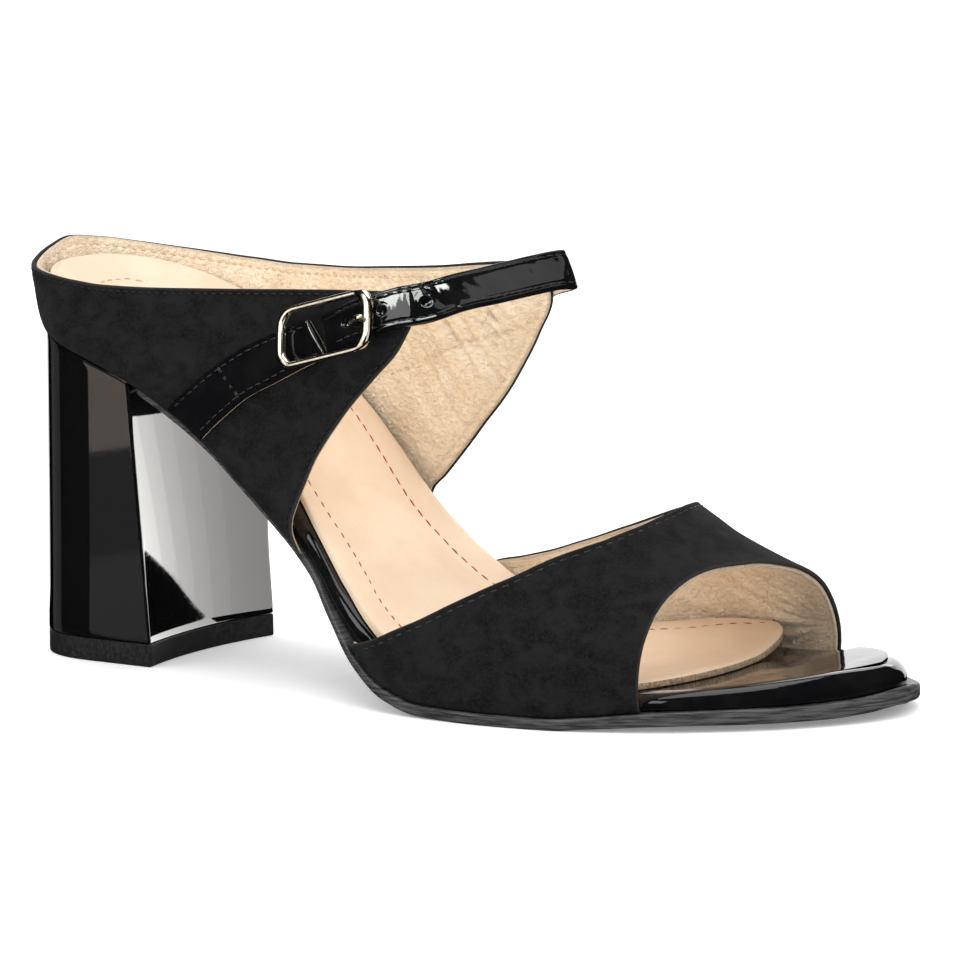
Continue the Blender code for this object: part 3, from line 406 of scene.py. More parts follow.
def toe_match(s, tip):
    """Station of the feather line that fits a sole ending at tip, and the fade of its inset."""
    start = TOE_TIP - 22.0
    near = np.where(s > start, start + (s - start) * 22.0 / (tip - start), s)
    return np.minimum(near, TOE_TIP), np.clip((tip - s) / 2.0, 0, 1) ** 0.5


def outsole_shape(u, v, w):
    c = 2 * v - 1
    start = heel_breast(c) + 0.9
    start = np.where(c < -0.99, start + 0.3, start)
    s = start + (TOE_TIP + OUTSOLE_LIP - start) * u
    near, fade = toe_match(s, TOE_TIP + OUTSOLE_LIP)
    tuck = np.interp(w, [0, 0.35, 1], [0.9, 0.0, 0.15])
    grow = (OUTSOLE_LIP * np.clip((s - 60) / 50, 0.2, 1.0) - tuck
            - outsole_bevel(near) * (1 - 0.75 * w))
    lat = outline(near, 0, -1) - grow * fade
    med = outline(near, 0, 1) + grow * fade
    middle, half = (lat + med) / 2, np.maximum((med - lat) / 2, 0.5)
    s = np.where(u > 0.999, s - 0.6 * tuck, s)
    z = feather_z(near)
    return np.stack([s, middle + half * c, z - SOLE_GAP - outsole_t(near) * (1 - w)], -1)


def midsole_shape(u, v, w):
    c = 2 * v - 1
    back = HEEL_BACK + 3.0
    front = TOE_TIP - 1.2
    s = back + (front - back) * u
    rim = np.interp(w, [0, 0.25, 0.75, 1], [0.5, 0.0, 0.0, 1.0])
    near, fade = toe_match(s, front)
    lat = outline(near, 0, -1) + (platform_lat(s) + rim) * fade
    med = outline(near, 0, 1) - (platform_med(s) + rim) * fade
    round_back = np.clip((HEEL_ROUND - s) / (HEEL_ROUND - back), 0, 1)
    g = (1 - round_back ** HEEL_EXPONENT) ** (1 / HEEL_EXPONENT)
    heel_lat = HEEL_AXIS + (side_lat(HEEL_ROUND) + 3.0 + rim - HEEL_AXIS) * g
    heel_med = HEEL_AXIS + (side_med(HEEL_ROUND) - 3.0 - rim - HEEL_AXIS) * g
    lat = np.where(s < HEEL_ROUND, heel_lat, lat)
    med = np.where(s < HEEL_ROUND, heel_med, med)
    middle, half = (lat + med) / 2, np.maximum((med - lat) / 2, 0.6)
    s = s + np.where(u < 0.001, rim, 0) - np.where(u > 0.999, rim, 0)
    z = feather_z(s) + platform_t(s) * w
    return np.stack([s, middle + half * c, z], -1)


def insole_shape(u, v, w):
    c = 2 * v - 1
    back = HEEL_BACK + 1.6
    front = sock_front(c)
    s = back + (front - back) * u
    rim = np.interp(w, [0, 0.4, 1], [0.0, 0.0, 0.7])
    lat = outline(s, 0, -1) + sock_lat(s) + rim
    med = outline(s, 0, 1) - sock_med(s) - rim
    t = np.clip((HEEL_ROUND - s) / (HEEL_ROUND - back), 0, 1)
    g = (1 - t ** HEEL_EXPONENT) ** (1 / HEEL_EXPONENT)
    heel_lat = HEEL_AXIS + (side_lat(HEEL_ROUND) + sock_lat(s) + rim - HEEL_AXIS) * g
    heel_med = HEEL_AXIS + (side_med(HEEL_ROUND) - sock_med(s) - rim - HEEL_AXIS) * g
    lat = np.where(s < HEEL_ROUND, heel_lat, lat)
    med = np.where(s < HEEL_ROUND, heel_med, med)
    middle, half = (lat + med) / 2, np.maximum((med - lat) / 2, 0.6)
    s = s + np.where(u < 0.001, rim, 0) - np.where(u > 0.999, rim, 0)
    z = feather_z(s) + platform_t(s) + SOLE_GAP + sock_t(s) * w
    return np.stack([s, middle + half * c, z], -1)


def heel_plan(u, v, level):
    c = 2 * v - 1
    mix = {k: curve(HEEL, "w", k)(level) for k in HEEL[0] if k != "w"}
    front = (mix["front_lat"] + (mix["front_med"] - mix["front_lat"]) * (c + 1) / 2
             - mix["hollow"] * (1 - c * c))
    s = mix["back"] + (front - mix["back"]) * u
    reach = 24.0
    t = np.clip(1 - (s - mix["back"]) / reach, 0, 1)
    g = np.maximum((1 - t ** HEEL_EXPONENT) ** (1 / HEEL_EXPONENT), 0.03)
    middle = (mix["lat"] + mix["med"]) / 2
    half = (mix["med"] - mix["lat"]) / 2
    lean_in = (middle - HEEL_AXIS) * t
    return s, middle - lean_in + half * g * c


def heel_shape(u, v, w):
    s, m = heel_plan(u, v, w)
    s_top, _ = heel_plan(u, v, np.ones_like(w))
    top = feather_z(s_top) - GAP
    low = TOP_PIECE + GAP
    return np.stack([s, m, low + (top - low) * w], -1)


def top_piece_shape(u, v, w):
    s, m = heel_plan(u, v, np.zeros_like(w))
    m = m + 0.6 * v * (1 - w) * u
    s = s + 0.4 * v * (1 - w) * u
    return np.stack([s, m, TOP_PIECE * w], -1)


def ease_deviation(table, v):
    a, h = curve(table, "v", "a")(v), curve(table, "v", "h")(v)
    first, last = table[0], table[-1]
    return (a - (first["a"] + (last["a"] - first["a"]) * v),
            h - (first["h"] + (last["h"] - first["h"]) * v))


def quarter_shape(u, v):
    """Patch between the feather line, the topline and the two front edges."""
    low_a = OUTER_FRONT[0]["a"] + (INNER_FRONT[0]["a"] - OUTER_FRONT[0]["a"]) * u
    top_a = OUTER_FRONT[-1]["a"] + (INNER_FRONT[-1]["a"] - OUTER_FRONT[-1]["a"]) * u
    top_h = topline(top_a) - feather_z(on_path(top_a)[0])
    level = v ** 0.85
    a = low_a + (top_a - low_a) * level
    h = top_h * level
    for table, weight in ((OUTER_FRONT, (1 - u) ** 6), (INNER_FRONT, u ** 6)):
        da, dh = ease_deviation(table, level)
        a = a + weight * da
        h = h + weight * dh
    return wall(a, h)


def vamp_shape(u, v):
    p = 2 * u - 1
    rear, front = vamp_rear(p), vamp_front(p)
    return vamp_surface(rear + (front - rear) * v, p)


def ribbon(centres, across, normals, width, thick, ends=None):
    """Shape function for a strap: centre line, direction across and normal by station."""
    stations = np.linspace(0, 1, len(centres))

    def shape(u, v, w):
        place = np.stack([np.interp(u, stations, centres[:, k]) for k in range(3)], -1)
        side = np.stack([np.interp(u, stations, across[:, k]) for k in range(3)], -1)
        up = np.stack([np.interp(u, stations, normals[:, k]) for k in range(3)], -1)
        return place + side * ((v - 0.5) * width)[:, None] + up * ((w - 0.5) * thick)[:, None]
    return shape


def tab_shape(u, v, w):
    """Tab between its upper and lower edges on the quarter, v running down."""
    a = curve(TAB, "u", "ta")(u) * (1 - v) + curve(TAB, "u", "ba")(u) * v
    h = curve(TAB, "u", "th")(u) * (1 - v) + curve(TAB, "u", "bh")(u) * v
    point, normal = wall_frame(a, h)
    return point + normal * (GAP + STRAP_THICK * w)[:, None]


def on_wall_ribbon(table, side, n, lift):
    """Centre line and frame of a strap lying on the quarter."""
    u = np.linspace(0, 1, n)
    s, z = curve(table, "u", "s")(u), curve(table, "u", "z")(u)
    centre, normal = wall_at(s, z, side, np.full(n, lift))
    along = np.gradient(centre, axis=0)
    along /= np.linalg.norm(along, axis=1, keepdims=True)
    across = np.cross(along, normal)
    across /= np.linalg.norm(across, axis=1, keepdims=True)
    across *= np.where(across[:, 2:3] > 0, -1, 1)
    return centre, across, normal


def smooth_line(points, n):
    """Catmull-Rom through the points, resampled evenly along its length."""
    p = np.vstack([2 * points[0] - points[1], points, 2 * points[-1] - points[-2]])
    fine = []
    for i in range(1, len(p) - 2):
        t = np.linspace(0, 1, 24, endpoint=False)[:, None]
        fine.append(0.5 * (2 * p[i] + (p[i + 1] - p[i - 1]) * t
                           + (2 * p[i - 1] - 5 * p[i] + 4 * p[i + 1] - p[i + 2]) * t ** 2
                           + (3 * p[i] - p[i - 1] - 3 * p[i + 1] + p[i + 2]) * t ** 3))
    fine = np.vstack(fine + [p[-2:-1]])
    arc = np.concatenate([[0], np.cumsum(np.linalg.norm(np.diff(fine[:, :3], axis=0), axis=1))])
    even = np.linspace(0, arc[-1], n)
    return np.stack([np.interp(even, arc, fine[:, k]) for k in range(p.shape[1])], -1)


def strap_line(n):
    """Whole instep strap: outer flap, free span, bend, inner flap down to the feather."""
    lift = GAP + STRAP_THICK / 2
    c1, w1, _ = on_wall_ribbon(STRAP_OUTER, -1, 7, lift + 0.25)
    c3, w3, _ = on_wall_ribbon(STRAP_INNER, 1, 12, lift)
    span = np.array([[r[k] for k in ("s", "m", "z", "ws", "wm", "wz")] for r in SPAN])
    line = np.vstack([np.hstack([c1, w1]), span, np.hstack([c3, w3])])
    line = smooth_line(line, n)
    centre, across = line[:, :3], line[:, 3:]
    along = np.gradient(centre, axis=0)
    along /= np.linalg.norm(along, axis=1, keepdims=True)
    across = across - along * np.sum(across * along, axis=1, keepdims=True)
    across /= np.linalg.norm(across, axis=1, keepdims=True)
    normal = np.cross(across, along)
    return centre, across, normal


def buckle_plane():
    """Centre and axes of the buckle: along the strap, across it, and off the foot."""
    s = np.array([91.2, 100.9, 110.4])
    z = np.interp(s, [96.8, 116.4], [74.2, 81.7])
    z = np.where(s < 96.8, 74.2 - (96.8 - s) * 0.46, z)
    point, _ = wall_at(s, z, -1, np.full(3, GAP + STRAP_THICK))
    along = point[2] - point[0]
    along /= np.linalg.norm(along)
    _, normal = wall_at(s[1:2], z[1:2], -1, np.zeros(1))
    across = np.cross(along, normal[0])
    across /= np.linalg.norm(across)
    across *= -1 if across[2] < 0 else 1
    off = np.cross(along, across)
    off *= -1 if off[1] > 0 else 1
    middle = point.mean(axis=0) - 0.27 * along + 0.09 * across
    turn, lean = np.cos(BUCKLE_TILT), np.sin(BUCKLE_TILT)
    return middle, along * turn + across * lean, across * turn - along * lean, off


def rounded_rectangle(length, width, radius, n_corner):
    points = []
    for cx, cy, start in ((1, 1, 0), (-1, 1, 90), (-1, -1, 180), (1, -1, 270)):
        for k in range(n_corner + 1):
            t = np.radians(start + 90 * k / n_corner)
            points.append((cx * (length / 2 - radius) + radius * np.cos(t),
                           cy * (width / 2 - radius) + radius * np.sin(t)))
    return points


# ---- mesh tools ----------------------------------------------------------------
def smooth01(x, lo, hi):
    t = np.clip((np.asarray(x, float) - lo) / (hi - lo), 0, 1)
    return t * t * (3 - 2 * t)


def ripple(x, y, wave, seed, count=7):
    """Smooth repeatable unevenness of unit size: a few crossing waves."""
    rng = np.random.default_rng(seed)
    total = np.zeros(np.shape(x))
    for _ in range(count):
        turn, phase = rng.uniform(0, np.pi), rng.uniform(0, 2 * np.pi)
        k = 2 * np.pi / (wave * rng.uniform(0.7, 1.5))
        total += np.sin(k * (x * np.cos(turn) + y * np.sin(turn)) + phase)
    return total / count


def crease(x, y, row):
    """Soft trough (or ridge, with a negative depth) along a bowed line."""
    dx, dy = row["x1"] - row["x0"], row["y1"] - row["y0"]
    length = math.hypot(dx, dy)
    t = ((x - row["x0"]) * dx + (y - row["y0"]) * dy) / length ** 2
    off = ((x - row["x0"]) * dy - (y - row["y0"]) * dx) / length
    off = off - row.get("bow", 0.0) * 4 * t * (1 - t)
    fade = np.clip(t * (1 - t) * 4, 0, 1) ** 0.7
    return -row["depth"] * fade * np.exp(-(off / row["width"]) ** 2)


def grid_quads(nu, nv, flip=False, base=0):
    i, j = np.meshgrid(np.arange(nu - 1), np.arange(nv - 1), indexing="ij")
    a = i * nv + j
    q = np.stack([a, a + nv, a + nv + 1, a + 1], -1).reshape(-1, 4) + base
    return q[:, ::-1] if flip else q


def tidy(mesh, weld):
    bm = bmesh.new()
    bm.from_mesh(mesh)
    bmesh.ops.remove_doubles(bm, verts=bm.verts, dist=weld)
    bmesh.ops.dissolve_degenerate(bm, edges=bm.edges, dist=weld * 0.5)
    bmesh.ops.recalc_face_normals(bm, faces=bm.faces)
    if bm.calc_volume(signed=True) < 0:
        bmesh.ops.reverse_faces(bm, faces=bm.faces)
    bm.to_mesh(mesh)
    bm.free()


def build(name, verts, quads, mats, replaces=(), place=None, face_mat=None,
          weld=1.5e-6, split=None):
    """A piece from points (shoe co-ordinates, mm) and faces, welded and riding on the shoe."""
    mesh = bpy.data.meshes.new(name)
    mesh.from_pydata(to_scene(verts).tolist(), [], np.asarray(quads).tolist())
    for mat in mats:
        mesh.materials.append(mat)
    if face_mat is not None:
        mesh.polygons.foreach_set("material_index", np.asarray(face_mat, np.int32))
    if place is not None:
        layer = mesh.attributes.new("place", "FLOAT_VECTOR", "POINT")
        layer.data.foreach_set("vector", np.asarray(place, np.float32).ravel())
    tidy(mesh, weld)
    mesh.shade_smooth()
    if split:
        mesh.set_sharp_from_angle(angle=math.radians(split))
    obj = bpy.data.objects.new(name, mesh)
    bpy.context.scene.collection.objects.link(obj)
    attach(obj, "root")
    if replaces:
        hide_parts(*replaces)
    return obj


def distance_to(points, line):
    """Distance of each grid point from a polyline."""
    seg = np.linalg.norm(np.diff(line, axis=0), axis=1)
    arc = np.concatenate([[0], np.cumsum(seg)])
    even = np.arange(0, arc[-1], 0.12)
    fine = np.stack([np.interp(even, arc, line[:, k]) for k in range(3)], -1)
    tree = KDTree(len(fine))
    for i, p in enumerate(fine):
        tree.insert(Vector(p), i)
    tree.balance()
    flat = points.reshape(-1, 3)
    found = np.array([tree.find(Vector(p))[2] for p in flat])
    return found.reshape(points.shape[:-1])


def row_contour(points, normals, dist, level, start=0, step=1):
    """Along every column, the first place whose distance from an edge reaches level."""
    line, up = [], []
    for i in range(points.shape[0]):
        d = dist[i, ::step] if start == 0 else dist[i, ::-1]
        p = points[i] if start == 0 else points[i, ::-1]
        n = normals[i] if start == 0 else normals[i, ::-1]
        k = int(np.argmax(d >= level))
        if k == 0:
            continue
        t = (level - d[k - 1]) / max(d[k] - d[k - 1], 1e-9)
        line.append(p[k - 1] * (1 - t) + p[k] * t)
        up.append(n[k - 1] * (1 - t) + n[k] * t)
    return np.array(line), np.array(up)


def plate(name, P, N, dist, top, bottom, mats, replaces=(), place=None,
          top_disp=0.0, low_disp=0.0, back_mat=None, back_from=0.0, radius=None):
    """Leather plate over a grid: two skins that close round every edge."""
    nu, nv = P.shape[:2]
    full = (top - bottom) / 2
    r = radius or full
    roll = np.sqrt(np.clip(1 - (1 - np.minimum(dist / r, 1)) ** 2, 0, 1))
    mid = (top + bottom) / 2
    fade = np.clip(dist / r, 0, 1)
    A = P + N * (mid + full * roll + top_disp * fade)[..., None]
    B = P + N * (mid - full * roll + low_disp * fade)[..., None]
    verts = np.concatenate([A.reshape(-1, 3), B.reshape(-1, 3)])
    quads = np.concatenate([grid_quads(nu, nv), grid_quads(nu, nv, True, nu * nv)])
    face_mat = None
    if back_mat is not None:
        near = dist.reshape(-1)[grid_quads(nu, nv)].mean(1)
        face_mat = np.concatenate([np.zeros(len(near), int),
                                   np.where(near > back_from, back_mat, 0)])
    if place is not None:
        place = np.concatenate([place.reshape(-1, 3)] * 2)
    return build(name, verts, quads, mats, replaces, place, face_mat)


def stitches(name, rows, mat, length=1.7, pitch=2.2, radius=0.22, lift=0.1, arch=0.22):
    """Rows of thread: each stitch is a short bowed capsule that dips in at both ends."""
    verts, quads = [], []
    rings, sides = 7, 6
    x = np.sin(np.linspace(-np.pi / 2, np.pi / 2, rings))
    turn = np.linspace(0, 2 * np.pi, sides, endpoint=False)
    for line, up in rows:
        if len(line) < 2:
            continue
        seg = np.linalg.norm(np.diff(line, axis=0), axis=1)
        arc = np.concatenate([[0], np.cumsum(seg)])
        count = int((arc[-1] - 0.4) // pitch)
        if count < 1:
            continue
        margin = (arc[-1] - count * pitch) / 2 + pitch / 2
        at = lambda q, a=arc, l=line: np.stack([np.interp(q, a, l[:, k]) for k in range(3)], -1)
        for c in margin + pitch * np.arange(count):
            a, b = at(c - length / 2), at(c + length / 2)
            t = (b - a) / np.linalg.norm(b - a)
            n = np.array([np.interp(c, arc, up[:, k]) for k in range(3)])
            n -= t * (n @ t)
            n /= np.linalg.norm(n)
            side = np.cross(t, n)
            skew = side * 0.10
            axis = (a + b) / 2 + np.outer(x * length / 2, t + skew) \
                + np.outer(lift - arch * x ** 2, n)
            fat = radius * np.sqrt(np.clip(1 - 0.92 * x ** 6, 0.0, 1))
            ring = axis[:, None] + fat[:, None, None] * (
                np.cos(turn)[None, :, None] * side + np.sin(turn)[None, :, None] * n)
            base = sum(len(v) for v in verts)
            verts.append(ring.reshape(-1, 3))
            i, j = np.meshgrid(np.arange(rings - 1), np.arange(sides), indexing="ij")
            k = (j + 1) % sides
            quads += (np.stack([i * sides + j, i * sides + k, (i + 1) * sides + k,
                                (i + 1) * sides + j], -1).reshape(-1, 4) + base).tolist()
            for end in (0, rings - 1):
                cap = [base + end * sides + q for q in range(sides)]
                quads.append(cap if end else cap[::-1])
    mesh = bpy.data.meshes.new(name)
    mesh.from_pydata(to_scene(np.concatenate(verts)).tolist(), [], quads)
    mesh.materials.append(mat)
    bm = bmesh.new()
    bm.from_mesh(mesh)
    bmesh.ops.recalc_face_normals(bm, faces=bm.faces)
    bm.to_mesh(mesh)
    bm.free()
    mesh.shade_smooth()
    obj = bpy.data.objects.new(name, mesh)
    bpy.context.scene.collection.objects.link(obj)
    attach(obj, "root")
    return obj


def resample(points, step):
    points = np.asarray(points, float)
    arc = np.concatenate([[0], np.cumsum(np.linalg.norm(np.diff(points, axis=0), axis=1))])
    n = max(int(round(arc[-1] / step)), 2)
    even = np.linspace(0, arc[-1], n + 1)
    return np.stack([np.interp(even, arc, points[:, k]) for k in range(points.shape[1])], -1)


def soften(loop, passes):
    for _ in range(passes):
        loop = (np.roll(loop, 1, 0) + 2 * loop + np.roll(loop, -1, 0)) / 4
    return loop


def plan_normals(loop, passes=2):
    d = np.roll(loop, -1, 0) - np.roll(loop, 1, 0)
    n = np.stack([d[:, 1], -d[:, 0]], -1)
    n /= np.linalg.norm(n, axis=1, keepdims=True)
    n = soften(n, passes)
    n /= np.linalg.norm(n, axis=1, keepdims=True)
    area = 0.5 * np.sum(loop[:, 0] * np.roll(loop[:, 1], -1) - np.roll(loop[:, 0], -1) * loop[:, 1])
    return n if area > 0 else -n


def coons(low, end, high, start):
    """Grid filling four joined sides: low and high run the same way, start and end across."""
    nu, nv = len(low), len(start)
    u, v = np.linspace(0, 1, nu)[:, None, None], np.linspace(0, 1, nv)[None, :, None]
    ruled_v = low[:, None] * (1 - v) + high[:, None] * v
    ruled_u = start[None] * (1 - u) + end[None] * u
    corners = (low[0] * (1 - u) * (1 - v) + low[-1] * u * (1 - v)
               + high[0] * (1 - u) * v + high[-1] * u * v)
    return ruled_v + ruled_u - corners


def slab(name, sides, profile, place_at, mats, replaces=(), soft=2, relief=None,
         front_mat=None, toe_soft=0):
    """Flat-bodied piece: a plan outline of four sides, a rim profile of (inset, level)
    rows from underneath to the top, and caps; place_at(s, m, level) gives the height."""
    lat, front, med, back = sides
    loop = np.concatenate([lat[:-1], front[:-1], med[::-1][:-1], back[::-1][:-1]])
    marks = np.cumsum([0, len(lat) - 1, len(front) - 1, len(med) - 1])
    loop = soften(loop, soft)
    if toe_soft:
        rounder = soften(loop, toe_soft)
        rounder = rounder + plan_normals(rounder) * 0.25
        toe = smooth01(loop[:, :1], 184, 200)
        loop = loop * (1 - toe) + rounder * toe
    normal = plan_normals(loop)
    n = len(loop)
    rows = np.array([loop - normal * inset for inset, _ in profile])
    levels = np.array([level for _, level in profile])
    s, m = rows[..., 0], rows[..., 1]
    z = place_at(s, m, np.repeat(levels[:, None], n, 1))
    rim = np.stack([s, m, z], -1)
    inset = np.repeat(np.array([i for i, _ in profile])[:, None], n, 1)
    verts = [rim.reshape(-1, 3)]
    marks_place = [np.stack([s, inset, np.repeat(levels[:, None], n, 1)], -1).reshape(-1, 3)]
    i, j = np.meshgrid(np.arange(len(profile) - 1), np.arange(n), indexing="ij")
    k = (j + 1) % n
    quads = [np.stack([i * n + j, i * n + k, (i + 1) * n + k, (i + 1) * n + j], -1).reshape(-1, 4)]
    kinds = [np.zeros(len(quads[0]), int)]
    base = len(verts[0])
    for which, row in ((0, rows[0]), (1, rows[-1])):
        a, b, c, d = marks
        low, end = row[a:b + 1], row[b:c + 1]
        high, start = row[c:d + 1][::-1], np.vstack([row[d:], row[:1]])[::-1]
        cap = coons(low, end, high, start)
        level = np.full(cap.shape[:2], levels[0] if which == 0 else levels[-1])
        zc = place_at(cap[..., 0], cap[..., 1], level)
        edge = distance_to(np.concatenate([cap, 0 * cap[..., :1]], -1),
                           np.concatenate([np.vstack([row, row[:1]]), np.zeros((n + 1, 1))], -1))
        edge = edge + profile[0 if which == 0 else -1][0]
        if which == 1 and relief is not None:
            zc = zc + relief(cap[..., 0], cap[..., 1], edge)
        verts.append(np.stack([cap[..., 0], cap[..., 1], zc], -1).reshape(-1, 3))
        marks_place.append(np.stack([cap[..., 0], edge, level], -1).reshape(-1, 3))
        q = grid_quads(*cap.shape[:2], which == 0, base)
        quads.append(q)
        kinds.append(np.full(len(q), 1 + which))
        base += len(verts[-1])
    kinds = np.concatenate(kinds)
    face_mat = None
    if front_mat is not None:
        mid_level = np.repeat((levels[:-1] + levels[1:]) / 2, n)
        column = np.tile(np.arange(n), len(profile) - 1)
        front_face = (column >= marks[1]) & (column < marks[2]) & (mid_level < 0.80)
        face_mat = np.zeros(len(kinds), int)
        face_mat[:len(front_face)] = np.where(front_face, front_mat, 0)
    return build(name, np.concatenate(verts), np.concatenate(quads), mats, replaces,
                 np.concatenate(marks_place), face_mat)


def rounded_profile(height, r_low, r_top, steps=6, bulge=0.0):
    """Rim rows (inset, level) of a slab of this height with rounded edges."""
    rows = []
    for t in np.linspace(0, np.pi / 2, steps):
        rows.append((r_low * (1 - math.sin(t)), r_low * (1 - math.cos(t)) / height))
    for t in np.linspace(0, np.pi / 2, steps):
        rows.append((r_top * (1 - math.cos(t)), 1 - r_top * (1 - math.sin(t)) / height))
    if bulge:
        rows = [(i - bulge * 4 * w * (1 - w), w) for i, w in rows]
    return rows


# ---- materials ------------------------------------------------------------------
class Maker:
    """Small helper that strings shader nodes together."""

    def __init__(self, name, colour, **sockets):
        self.mat = bpy.data.materials.new(name)
        self.mat.use_nodes = True
        self.tree = self.mat.node_tree
        self.shader = self.tree.nodes["Principled BSDF"]
        self.shader.inputs["Base Color"].default_value = (*colour, 1)
        for key, value in sockets.items():
            self.shader.inputs[key.replace("_", " ")].default_value = value
        coord = self.tree.nodes.new("ShaderNodeTexCoord")
        self.object = coord.outputs["Object"]
        place = self.tree.nodes.new("ShaderNodeAttribute")
        place.attribute_name = "place"
        self.place = place.outputs["Vector"]
        self.last_bump = None

    def link(self, a, b):
        self.tree.links.new(a, b)

    def scaled(self, vector, scale, turn=(0, 0, 0)):
        node = self.tree.nodes.new("ShaderNodeMapping")
        node.inputs["Scale"].default_value = scale
        node.inputs["Rotation"].default_value = turn
        self.link(vector, node.inputs["Vector"])
        return node.outputs["Vector"]

    def noise(self, per_mm, detail=3.0, rough=0.55, stretch=(1, 1, 1), vector=None, warp=0.0):
        node = self.tree.nodes.new("ShaderNodeTexNoise")
        node.inputs["Scale"].default_value = 1.0
        node.inputs["Detail"].default_value = detail
        node.inputs["Roughness"].default_value = rough
        node.inputs["Distortion"].default_value = warp
        k = per_mm * (1000.0 if vector is None else 1.0)
        self.link(self.scaled(self.object if vector is None else vector,
                              tuple(k * c for c in stretch)), node.inputs["Vector"])
        return node.outputs["Fac"]

    def cells(self, per_mm, feature="F1", stretch=(1, 1, 1), smooth=None):
        node = self.tree.nodes.new("ShaderNodeTexVoronoi")
        node.feature = feature
        node.inputs["Scale"].default_value = 1.0
        self.link(self.scaled(self.object, tuple(per_mm * 1000 * c for c in stretch)),
                  node.inputs["Vector"])
        return node.outputs["Distance"]

    def part(self, vector, axis):
        node = self.tree.nodes.new("ShaderNodeSeparateXYZ")
        self.link(vector, node.inputs[0])
        return node.outputs[axis]

    def ramp(self, value, low, high, a=0.0, b=1.0, smooth=True):
        node = self.tree.nodes.new("ShaderNodeMapRange")
        node.interpolation_type = "SMOOTHSTEP" if smooth else "LINEAR"
        node.inputs["From Min"].default_value = low
        node.inputs["From Max"].default_value = high
        node.inputs["To Min"].default_value = a
        node.inputs["To Max"].default_value = b
        self.link(value, node.inputs["Value"])
        return node.outputs["Result"]

    def math(self, kind, a, b):
        node = self.tree.nodes.new("ShaderNodeMath")
        node.operation = kind
        for socket, value in zip(node.inputs, (a, b)):
            if isinstance(value, (int, float)):
                socket.default_value = value
            else:
                self.link(value, socket)
        return node.outputs[0]

    def mix(self, fac, a, b):
        node = self.tree.nodes.new("ShaderNodeMix")
        node.data_type = "RGBA"
        for socket, value in ((node.inputs[0], fac), (node.inputs[6], a), (node.inputs[7], b)):
            if isinstance(value, tuple):
                socket.default_value = (*value, 1)
            elif isinstance(value, (int, float)):
                socket.default_value = value
            else:
                self.link(value, socket)
        return node.outputs[2]

    def colour(self, value):
        self.link(value, self.shader.inputs["Base Color"])

    def roughness(self, value):
        self.link(value, self.shader.inputs["Roughness"])

    def bump(self, height, depth_mm, strength=1.0):
        node = self.tree.nodes.new("ShaderNodeBump")
        node.inputs["Strength"].default_value = strength
        node.inputs["Distance"].default_value = depth_mm * 0.001
        self.link(height, node.inputs["Height"])
        if self.last_bump is not None:
            self.link(self.last_bump, node.inputs["Normal"])
        self.last_bump = node.outputs["Normal"]
        self.link(self.last_bump, self.shader.inputs["Normal"])


def make_suede():
    m = Maker("black_suede_nap", (0.014, 0.014, 0.015), Roughness=0.9, Sheen_Weight=0.04,
              Sheen_Roughness=0.45, Specular_IOR_Level=0.25)
    m.shader.inputs["Sheen Tint"].default_value = (0.6, 0.6, 0.62, 1)
    broad = m.ramp(m.noise(0.16, 3.0, 0.6, (1, 1, 1.5), warp=0.6), 0.35, 0.68)
    nap = m.ramp(m.noise(1.7, 4.0, 0.7), 0.35, 0.7)
    fleck = m.ramp(m.noise(3.4, 2.0, 0.6), 0.70, 0.78)
    base = m.mix(broad, (0.0022, 0.0022, 0.0025), (0.0105, 0.0105, 0.0110))
    base = m.mix(m.math("MULTIPLY", nap, 0.8), base, (0.0125, 0.0125, 0.0130))
    base = m.mix(fleck, base, (0.055, 0.056, 0.055))
    edge = m.ramp(m.math("ADD", m.part(m.place, "Z"), m.math("MULTIPLY", m.noise(1.2, 2.0), 0.5)),
                  0.25, 0.95, 1.0, 0.0)
    base = m.mix(m.math("MULTIPLY", edge, 0.55), base, (0.045, 0.041, 0.036))
    m.colour(base)
    m.bump(m.noise(2.6, 4.0, 0.75), 0.16, 0.9)
    m.bump(m.noise(0.55, 3.0, 0.6), 0.10, 0.7)
    return m.mat


def make_lining(name="beige_lining_leather", light=(0.95, 0.82, 0.635), dark=(0.885, 0.725, 0.525)):
    m = Maker(name, light, Roughness=0.52, Specular_IOR_Level=0.4)
    broad = m.ramp(m.noise(0.09, 3.0, 0.6, warp=0.5), 0.36, 0.66)
    base = m.mix(broad, light, dark)
    pebble = m.cells(1.05, "SMOOTH_F1", (1, 1, 1))
    fold = m.noise(0.55, 4.0, 0.62, (1.0, 1.0, 1.7), warp=1.4)
    # painted shade: the troughs of the fold relief are coloured darker brown, standing in for the shade in the
    # lining's creases
    base = m.mix(m.ramp(fold, 0.36, 0.50, 0.26, 0.0), base, (0.55, 0.37, 0.22))
    # painted shade: within about a millimetre of its edges the lining turns dark brown, standing in for the shade in
    # the gaps at its rim
    edge = m.ramp(m.part(m.place, "Z"), 0.1, 0.9, 1.0, 0.0)
    base = m.mix(m.math("MULTIPLY", edge, 0.7), base, (0.42, 0.31, 0.22))
    m.colour(base)
    m.roughness(m.ramp(fold, 0.3, 0.7, 0.52, 0.32))
    m.bump(fold, 0.75, 1.0)
    m.bump(pebble, 0.24, 0.9)
    m.bump(m.noise(3.0, 3.0, 0.6), 0.04, 0.6)
    return m.mat


